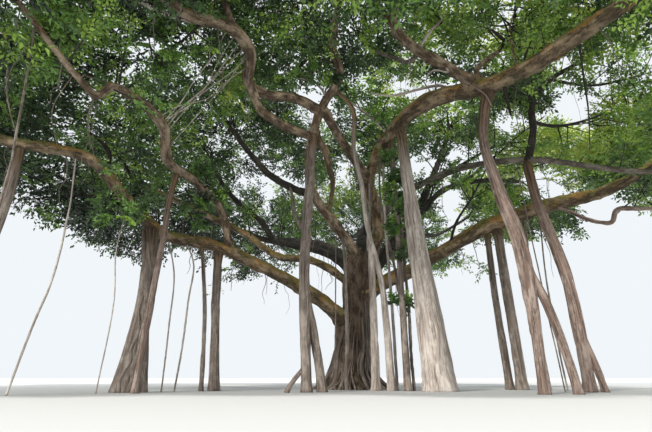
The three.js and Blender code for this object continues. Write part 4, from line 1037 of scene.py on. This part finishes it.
# Where sunlight is painted on its leaves as paler tones: the middle and half sizes of each spot, in pixels.
PAINTED_SUNLIT_SPOTS = [
    (508, 30, 80, 34), (364, 28, 15, 13), (416, 18, 18, 13), (322, 70, 13, 11), (227, 84, 16, 12),
    (90, 28, 42, 30), (500, 145, 26, 16), (625, 120, 32, 24), (445, 118, 18, 12), (112, 185, 20, 16),
    (28, 24, 34, 26), (282, 20, 30, 20), (618, 40, 44, 34), (575, 150, 36, 20),
]


def in_ovals(points, ovals, level=0):
    """Whether points show in one of the ovals, at a level above the oval's own where it has one."""
    x, y = np.moveaxis(to_photo(points), -1, 0)
    return np.any([(((x - oval[0]) / oval[2]) ** 2 + ((y - oval[1]) / oval[3]) ** 2 < 1)
                   & (level > (oval[4] if oval[4:] else -1)) for oval in ovals], axis=0)


def shows_sky(points):
    places = np.nan_to_num(to_photo(points)) / GAP_SCALE
    return in_ovals(points, SKY_GAPS, noise(np.concatenate([places, 0 * places[..., :1]], axis=-1), 6))


def places_in(name, seed):
    """Places spread evenly through a mass's space, as far as they are free."""
    centre, size = MASSES[name]
    steps = np.arange(1, MOST_TRIES)[:, None]
    places = 2 * ((seed * SEED_STEP + steps * GOLDEN) % 1) - 1
    far = np.linalg.norm(places, axis=1)
    places = np.array(centre) + places[(far < 1) & (far > HOLLOW)] * np.array(size)
    places = places[in_own_space(name, places) & in_box(places)]
    places = places[noise(places * CLUMP_SCALE, seed) > CLUMP_FLOOR + OPEN_ACROSS * places[:, 0]]
    places = places[clear_of_limbs(places, 0.1) & ~shows_sky(places)]
    return places[:SPRAYS_PER_MASS]


def grow_forks(start, first, roots):
    """Joins each root in turn to the fork that makes the shortest way back to the stem."""
    at, parent, back = [start, first], [-1, 0], [0, STEM_LENGTH]
    shares = np.array([0.25, 0.5, 0.75])[:, None]
    for root in roots[np.argsort(np.linalg.norm(roots - first, axis=1))]:
        forks = np.array(at[1:])
        cost = np.linalg.norm(forks - root, axis=1) + DETOUR * np.array(back[1:])
        for k in np.argsort(cost)[:NEAREST_FORKS]:
            if clear_of_limbs(forks[k] + (root - forks[k]) * shares, 0.0).all():
                at.append(root)
                parent.append(k + 1)
                back.append(back[k + 1] + np.linalg.norm(root - forks[k]))
                break
    return np.array(at), parent


def chains_of(parent, load):
    """The twigs as lists of forks: each runs on through the child that carries most."""
    children = {}
    for child, fork in enumerate(parent):
        children.setdefault(fork, []).append(child)
    chains, waiting = [], [[0]]
    while waiting:
        chain = waiting.pop()
        while chain[-1] in children:
            ranked = sorted(children[chain[-1]], key=lambda k: -load[k])
            waiting += [[chain[-1], side] for side in ranked[1:]]
            chain.append(ranked[0])
        chains.append(chain)
    return chains


def spray_template(random):
    """One spray of leaves and side twigs along +X, as rows of leaf base, way, face and size."""
    leaves, twigs = [], []
    stems = [(np.zeros(3), SIDEWAYS, 1.0, MAIN_LEAVES)]
    for share, turn in SIDE_TWIGS:
        way = unit(outwards(turn) + UP * random.uniform(-0.7, 0.7))
        stems.append((SIDEWAYS * share, way, random.uniform(0.5, 0.75), SIDE_LEAVES))
    for base, way, length, count in stems:
        across = unit(np.cross(UP, way))
        twigs.append((base, base + way * length))
        for i in range(count):
            place = base + way * length * (i + 0.8) / count
            side = 1 if i % 2 else -1
            turn = random.uniform(0.5, 1.3) * (0.25 if i == count - 1 else 1)
            leaf_way = unit(way * math.cos(turn) + across * side * math.sin(turn)
                            + UP * random.uniform(-0.8, 0.4))
            face = unit(UP * LEVEL + random.uniform(-1, 1, 3))
            leaves.append((place, leaf_way, face, random.uniform(*LEAF_SIZES)))
    return [np.array(column) for column in zip(*leaves)], np.array(twigs)


# A leaf's outline, folded along its midrib: how far along, how far to the side and how high.
LEAF_SHAPE = np.array([[0, 0, 0], [0.42, 0.5, 0.12], [1, 0, -0.08], [0.42, -0.5, 0.12]])
LEAF_HALVES = np.array([[0, 2, 1], [0, 3, 2]])


def leaf_corners(bases, ways, faces, lengths):
    """The corners of many leaves at once."""
    across = unit(np.cross(faces, ways))
    faces = np.cross(ways, across)
    length = lengths[:, None, None]
    shape = LEAF_SHAPE[None] * length
    return (bases[:, None] + ways[:, None] * shape[..., :1] + across[:, None] * shape[..., 1:2] * LEAF_WIDTH
            + faces[:, None] * shape[..., 2:])


def spray_frames(roots, hub, random):
    """The way, side and face of each spray: outwards from the hub and a little down."""
    astray = random.uniform(-0.9, 0.9, roots.shape)
    astray[:, 2] = -random.uniform(-0.35, 0.6, len(roots))
    ways = unit(unit(roots - hub) + astray)
    up = np.stack([*random.uniform(-0.35, 0.35, (2, len(roots))), np.ones(len(roots))], axis=1)
    sides = unit(np.cross(up, ways))
    return ways, sides, np.cross(ways, sides)


def tones_for(name, roots, random):
    """Each spray's leaf colour: painted light on the mass's outside and top, painted shade inside."""
    centre, size = MASSES[name]
    height = (roots[:, 2] - centre[2]) / size[2]
    out = oval_distance(name, roots)
    patch = TONE_PATCH * noise(roots * TONE_SCALE, 8) + TONE_ACROSS * roots[:, 0]
    # painted light and shade: paler at the top and outside of the mass, darker towards its middle
    value = TONE_MIDDLE + TONE_PAINTED_TOP_LIGHT * height + (out - 0.5) + patch
    # painted light: paler in the sunlit spots
    value += TONE_PAINTED_SUNLIGHT * in_ovals(roots, PAINTED_SUNLIT_SPOTS)
    value += random.normal(0, TONE_SPREAD, len(roots))
    return np.clip(np.round(value), 0, len(LEAF_TONES_WITH_PAINTED_LIGHT) - 1).astype(int)


templates = [spray_template(np.random.default_rng(40 + k)) for k in range(SPRAY_KINDS)]
POINTED = np.array([[0, 1, 3], [1, 2, 3], [2, 0, 3]])  # the sides of a twig that ends in a point


def add_spray(leaves, twigs, root, axes, kind, tone, scale, leaf_length=LEAF_LENGTH):
    """One spray of leaves on its side twigs. axes are its way, its side and its face."""
    (bases, leaf_ways, leaf_faces, sizes), side_twigs = templates[kind]
    corners = leaf_corners(root + (bases * scale) @ axes, leaf_ways @ axes, leaf_faces @ axes,
                           sizes * leaf_length)
    halves = (LEAF_HALVES[None] + len(LEAF_SHAPE) * np.arange(len(bases))[:, None, None]).reshape(-1, 3)
    leaves.add(corners, [halves], finish=tone)
    for start, end in (side_twigs[1:] * scale) @ axes + root:
        twigs.add(np.vstack([start + axes * TWIG_TIP, end]), [POINTED])


def make_mass(name, seed):
    """One mass: its twigs from the bough's tip, and a spray of leaves at every fork."""
    random = np.random.default_rng(seed)
    way = lines[name].way(1.0)
    start = lines[name].at(1.0) - way * 0.02
    first = start + way * STEM_LENGTH
    hub = first + (np.array(MASSES[name][0]) - first) * HUB
    at, parent = grow_forks(start, first, places_in(name, seed))
    load = np.zeros(len(at))
    for k in range(2, len(at)):
        while k >= 0:
            load[k] += 1
            k = parent[k]
    radius = np.maximum(TWIG_TIP, BOUGHS[name][2][-1] * (load / load[0]) ** TWIG_GROWTH)
    stray = random.normal(0, STRAY, at.shape)
    stray[:2] = 0
    at = at + stray
    roots = at[2:]
    ways, sides, faces = spray_frames(roots, hub, random)
    ends = roots + ways * SPRAY_LENGTH * 0.9
    keep = in_box(ends) & clear_of_limbs(ends, 0)
    twigs = Build()
    for chain in chains_of(parent, load):
        places, radii = list(at[chain]), list(radius[chain])
        if chain[0] != 0:
            radii[0] = min(radii[:2])
        if chain[-1] > 1 and keep[chain[-1] - 2]:
            places.append(ends[chain[-1] - 2])
            radii.append(TWIG_TIP * 0.6)
        steps = np.concatenate([[0], np.cumsum(np.linalg.norm(np.diff(places, axis=0), axis=1))])
        radius_at = lambda shares: np.interp(shares * steps[-1], steps, radii)
        twigs.add_tube(Line(places, steps=6), radius_at, TWIG_STEP, 6 if radii[0] > 0.02 else 3)
    leaves = Build()
    tones = tones_for(name, roots, random)
    kinds = random.integers(0, SPRAY_KINDS, len(roots))
    rolls = random.choice([-1, 1], len(roots))
    axes = np.stack([ways, sides * rolls[:, None], faces], axis=1)
    for i in np.flatnonzero(keep):
        scale = SPRAY_LENGTH * random.uniform(*SPRAY_SIZES)
        add_spray(leaves, twigs, roots[i], axes[i], kinds[i], tones[i], scale)
    dress(twigs.piece(f"twigs_{name}", [BARKS["twig"]]), "bark_bough", f"foliage_{name}")
    dress(leaves.piece(f"leaves_{name}", LEAVES, bark=False), "leaf", f"foliage_{name}")


def make_shoots():
    """Side shoots along the boughs, each a thin branch that ends in a few sprays of leaves."""
    random = np.random.default_rng(314)
    leaves, twigs = Build(), Build()
    rates = {name: (SHOOTS_PER_METRE, FIRST_SHOOTS.get(name, FIRST_SHOOT), 1) for name in BOUGHS
             if name not in BARE_BOUGHS}
    rates.update({name: (limb[4], limb[5], np.clip(lines[name].length / 4, 0.3, 1))
                  for name, limb in THIN_LIMBS.items() if limb[4]})
    rates["root_hanging_leafy"] = (5, 0.08, 0.14)
    for name, (rate, first, reach) in rates.items():
        line = lines[name]
        for _ in range(int(line.length * rate)):
            share = random.uniform(first, 1)
            way = line.way(share)
            aside = unit(np.cross(way, unit(random.normal(0, 1, 3))))
            aim = unit(aside + way * random.uniform(0, 0.8) + UP * random.uniform(-0.1, 0.9))
            length = random.uniform(*SHOOT_LENGTHS) * reach
            start = line.at(share)
            middle = start + aim * length * 0.5 + UP * random.uniform(-0.15, 0.2)
            end = start + aim * length + UP * random.uniform(-0.2, 0.3)
            if not in_box(end[None])[0] or shows_sky(end[None])[0] or end[2] < LOWEST_SHOOT:
                continue
            thick = random.uniform(*SHOOT_RADII)
            shoot = Line([start, middle, end], steps=10)
            twigs.add_tube(shoot, along([thick, thick * 0.7, TWIG_TIP]), SHOOT_STEP, SHOOT_SIDES)
            for place in np.linspace(0.45, 1, random.integers(3, 7)):
                root = shoot.at(place)
                out = unit(shoot.way(place) + random.uniform(-0.8, 0.8, 3))
                side = unit(np.cross(unit(UP + random.uniform(-0.4, 0.4, 3)), out))
                # painted light: the shoot's leaves are paler in the sunlit spots
                tone = random.normal(TONE_MIDDLE, 1) + TONE_PAINTED_SUNLIGHT * in_ovals(root, PAINTED_SUNLIT_SPOTS)
                tone = int(np.clip(round(tone), 0, len(LEAF_TONES_WITH_PAINTED_LIGHT) - 2))
                add_spray(leaves, twigs, root, np.array([out, side, np.cross(out, side)]),
                          random.integers(SPRAY_KINDS), tone,
                          SPRAY_LENGTH * random.uniform(0.6, 1) * max(reach, 0.5), SHOOT_LEAF)
    dress(twigs.piece("twigs_side_shoots", [BARKS["twig"]]), "bark_bough")
    dress(leaves.piece("leaves_side_shoots", LEAVES, bark=False), "leaf")


def make_thin_limbs():
    """The thin limbs, one piece for each bark, and the thin roots that link limbs or reach the ground."""
    builds = {}
    for i, (name, limb) in enumerate(THIN_LIMBS.items()):
        build = builds.setdefault(limb[3], Build())
        build.add_tube(lines[name], radius_of[name], 0.06, 12, bough_relief, 900 + i, wander=0.35)
    random = np.random.default_rng(12)
    for (on, share), via, to, thin, kind in LINKS:
        start = lines[on].at(share)
        hangs = isinstance(to[0], str)
        end = lines[to[0]].at(to[1]) if hangs else np.array([*to, -0.05])
        if not via:
            sway = random.normal(0, 0.05, (3, 3))
            via = [start + (end - start) * s + stray - UP * 0.12 * math.sin(math.pi * s)
                   for s, stray in zip((0.25, 0.5, 0.75), sway)]
        builds.setdefault(kind, Build()).add_tube(
            Line([start, *via, end], steps=10), along([thin * 0.8, thin, thin]), 0.08, 8, bough_relief, 950,
            wander=0.5, grounded=not hangs)
    for kind, build in builds.items():
        dress(build.piece(f"thin_limbs_{kind}", [BARKS[kind]]), "bark_bough")


HUNG_FROM = ("left_low", "left_arch", "left_high", "right_high", "right_fork", "right_low", "centre",
             "left_moss", "bridge", "left_back", "right_mid", "rear_left", "rear_right")


def make_hanging_roots():
    """Thin aerial roots that hang free from the undersides of the boughs."""
    random = np.random.default_rng(77)
    build = Build()
    for i in range(HANGING_ROOTS):
        name = HUNG_FROM[i % len(HUNG_FROM)]
        share = random.uniform(0.12, 0.97)
        top = lines[name].at(share)
        radius = float(radius_of[name](share))
        length = min(random.uniform(*HANGING_LENGTHS), top[2] - LOWEST_HANGING)
        places = [top - UP * radius * 0.6]
        sway = random.normal(0, 0.05, (HANGING_STEPS, 2)).cumsum(axis=0)
        for step in range(HANGING_STEPS):
            places.append(top - UP * (radius + length * (step + 1) / HANGING_STEPS) + [*sway[step], 0])
        thin = random.uniform(*HANGING_RADII)
        build.add_tube(Line(places, steps=4), along([thin, thin * 0.8, thin * 0.4]), 0.15, 5)
    dress(build.piece("hanging_roots", [BARKS["prop"]]), "bark_prop")


def make_stage():
    """A plain pale floor, soft light from all round, and a low and a high lamp in front."""
    floor_material = Nodes("floor")
    floor_material.shader.inputs["Base Color"].default_value = colour("cccdcd")
    floor_material.shader.inputs["Roughness"].default_value = 0.9
    mesh = bpy.data.meshes.new("floor")
    rim = [FLOOR_REACH * outwards(turn) for turn in turns(FLOOR_SIDES)]
    mesh.from_pydata(rim, [], [range(FLOOR_SIDES)])
    mesh.materials.append(floor_material.material)
    floor = in_scene("floor", mesh)
    world = bpy.data.worlds.new("studio")
    world.use_nodes = True
    world.node_tree.nodes["Background"].inputs["Color"].default_value = colour("f1f6fa")
    world.node_tree.nodes["Background"].inputs["Strength"].default_value = 1.0
    bpy.context.scene.world = world
    for name, energy, angle, tilt, turn in LAMPS:
        lamp = bpy.data.lights.new(name, "SUN")
        lamp.energy = energy
        lamp.angle = math.radians(angle)
        lamp.color = colour("fffaf2")[:3]
        in_scene(name, lamp).rotation_euler = (math.radians(tilt), 0, math.radians(turn))
    bpy.context.scene.view_settings.view_transform = "Standard"


make_stage()
make_trunk()
make_curtain()
for i, name in enumerate(BOUGHS):
    make_bough(name, 100 + 10 * i)
    sample(lines[name], radius_of[name])
for i, name in enumerate(PROPS):
    make_prop(name, 500 + 40 * i)
    for line, radius_at, _ in root_parts[name]:
        sample(line, radius_at)
limb_places, limb_radii = np.vstack(limb_places), np.concatenate(limb_radii)
for i, name in enumerate(MASSES):
    make_mass(name, i + 1)
make_thin_limbs()
make_shoots()
make_hanging_roots()
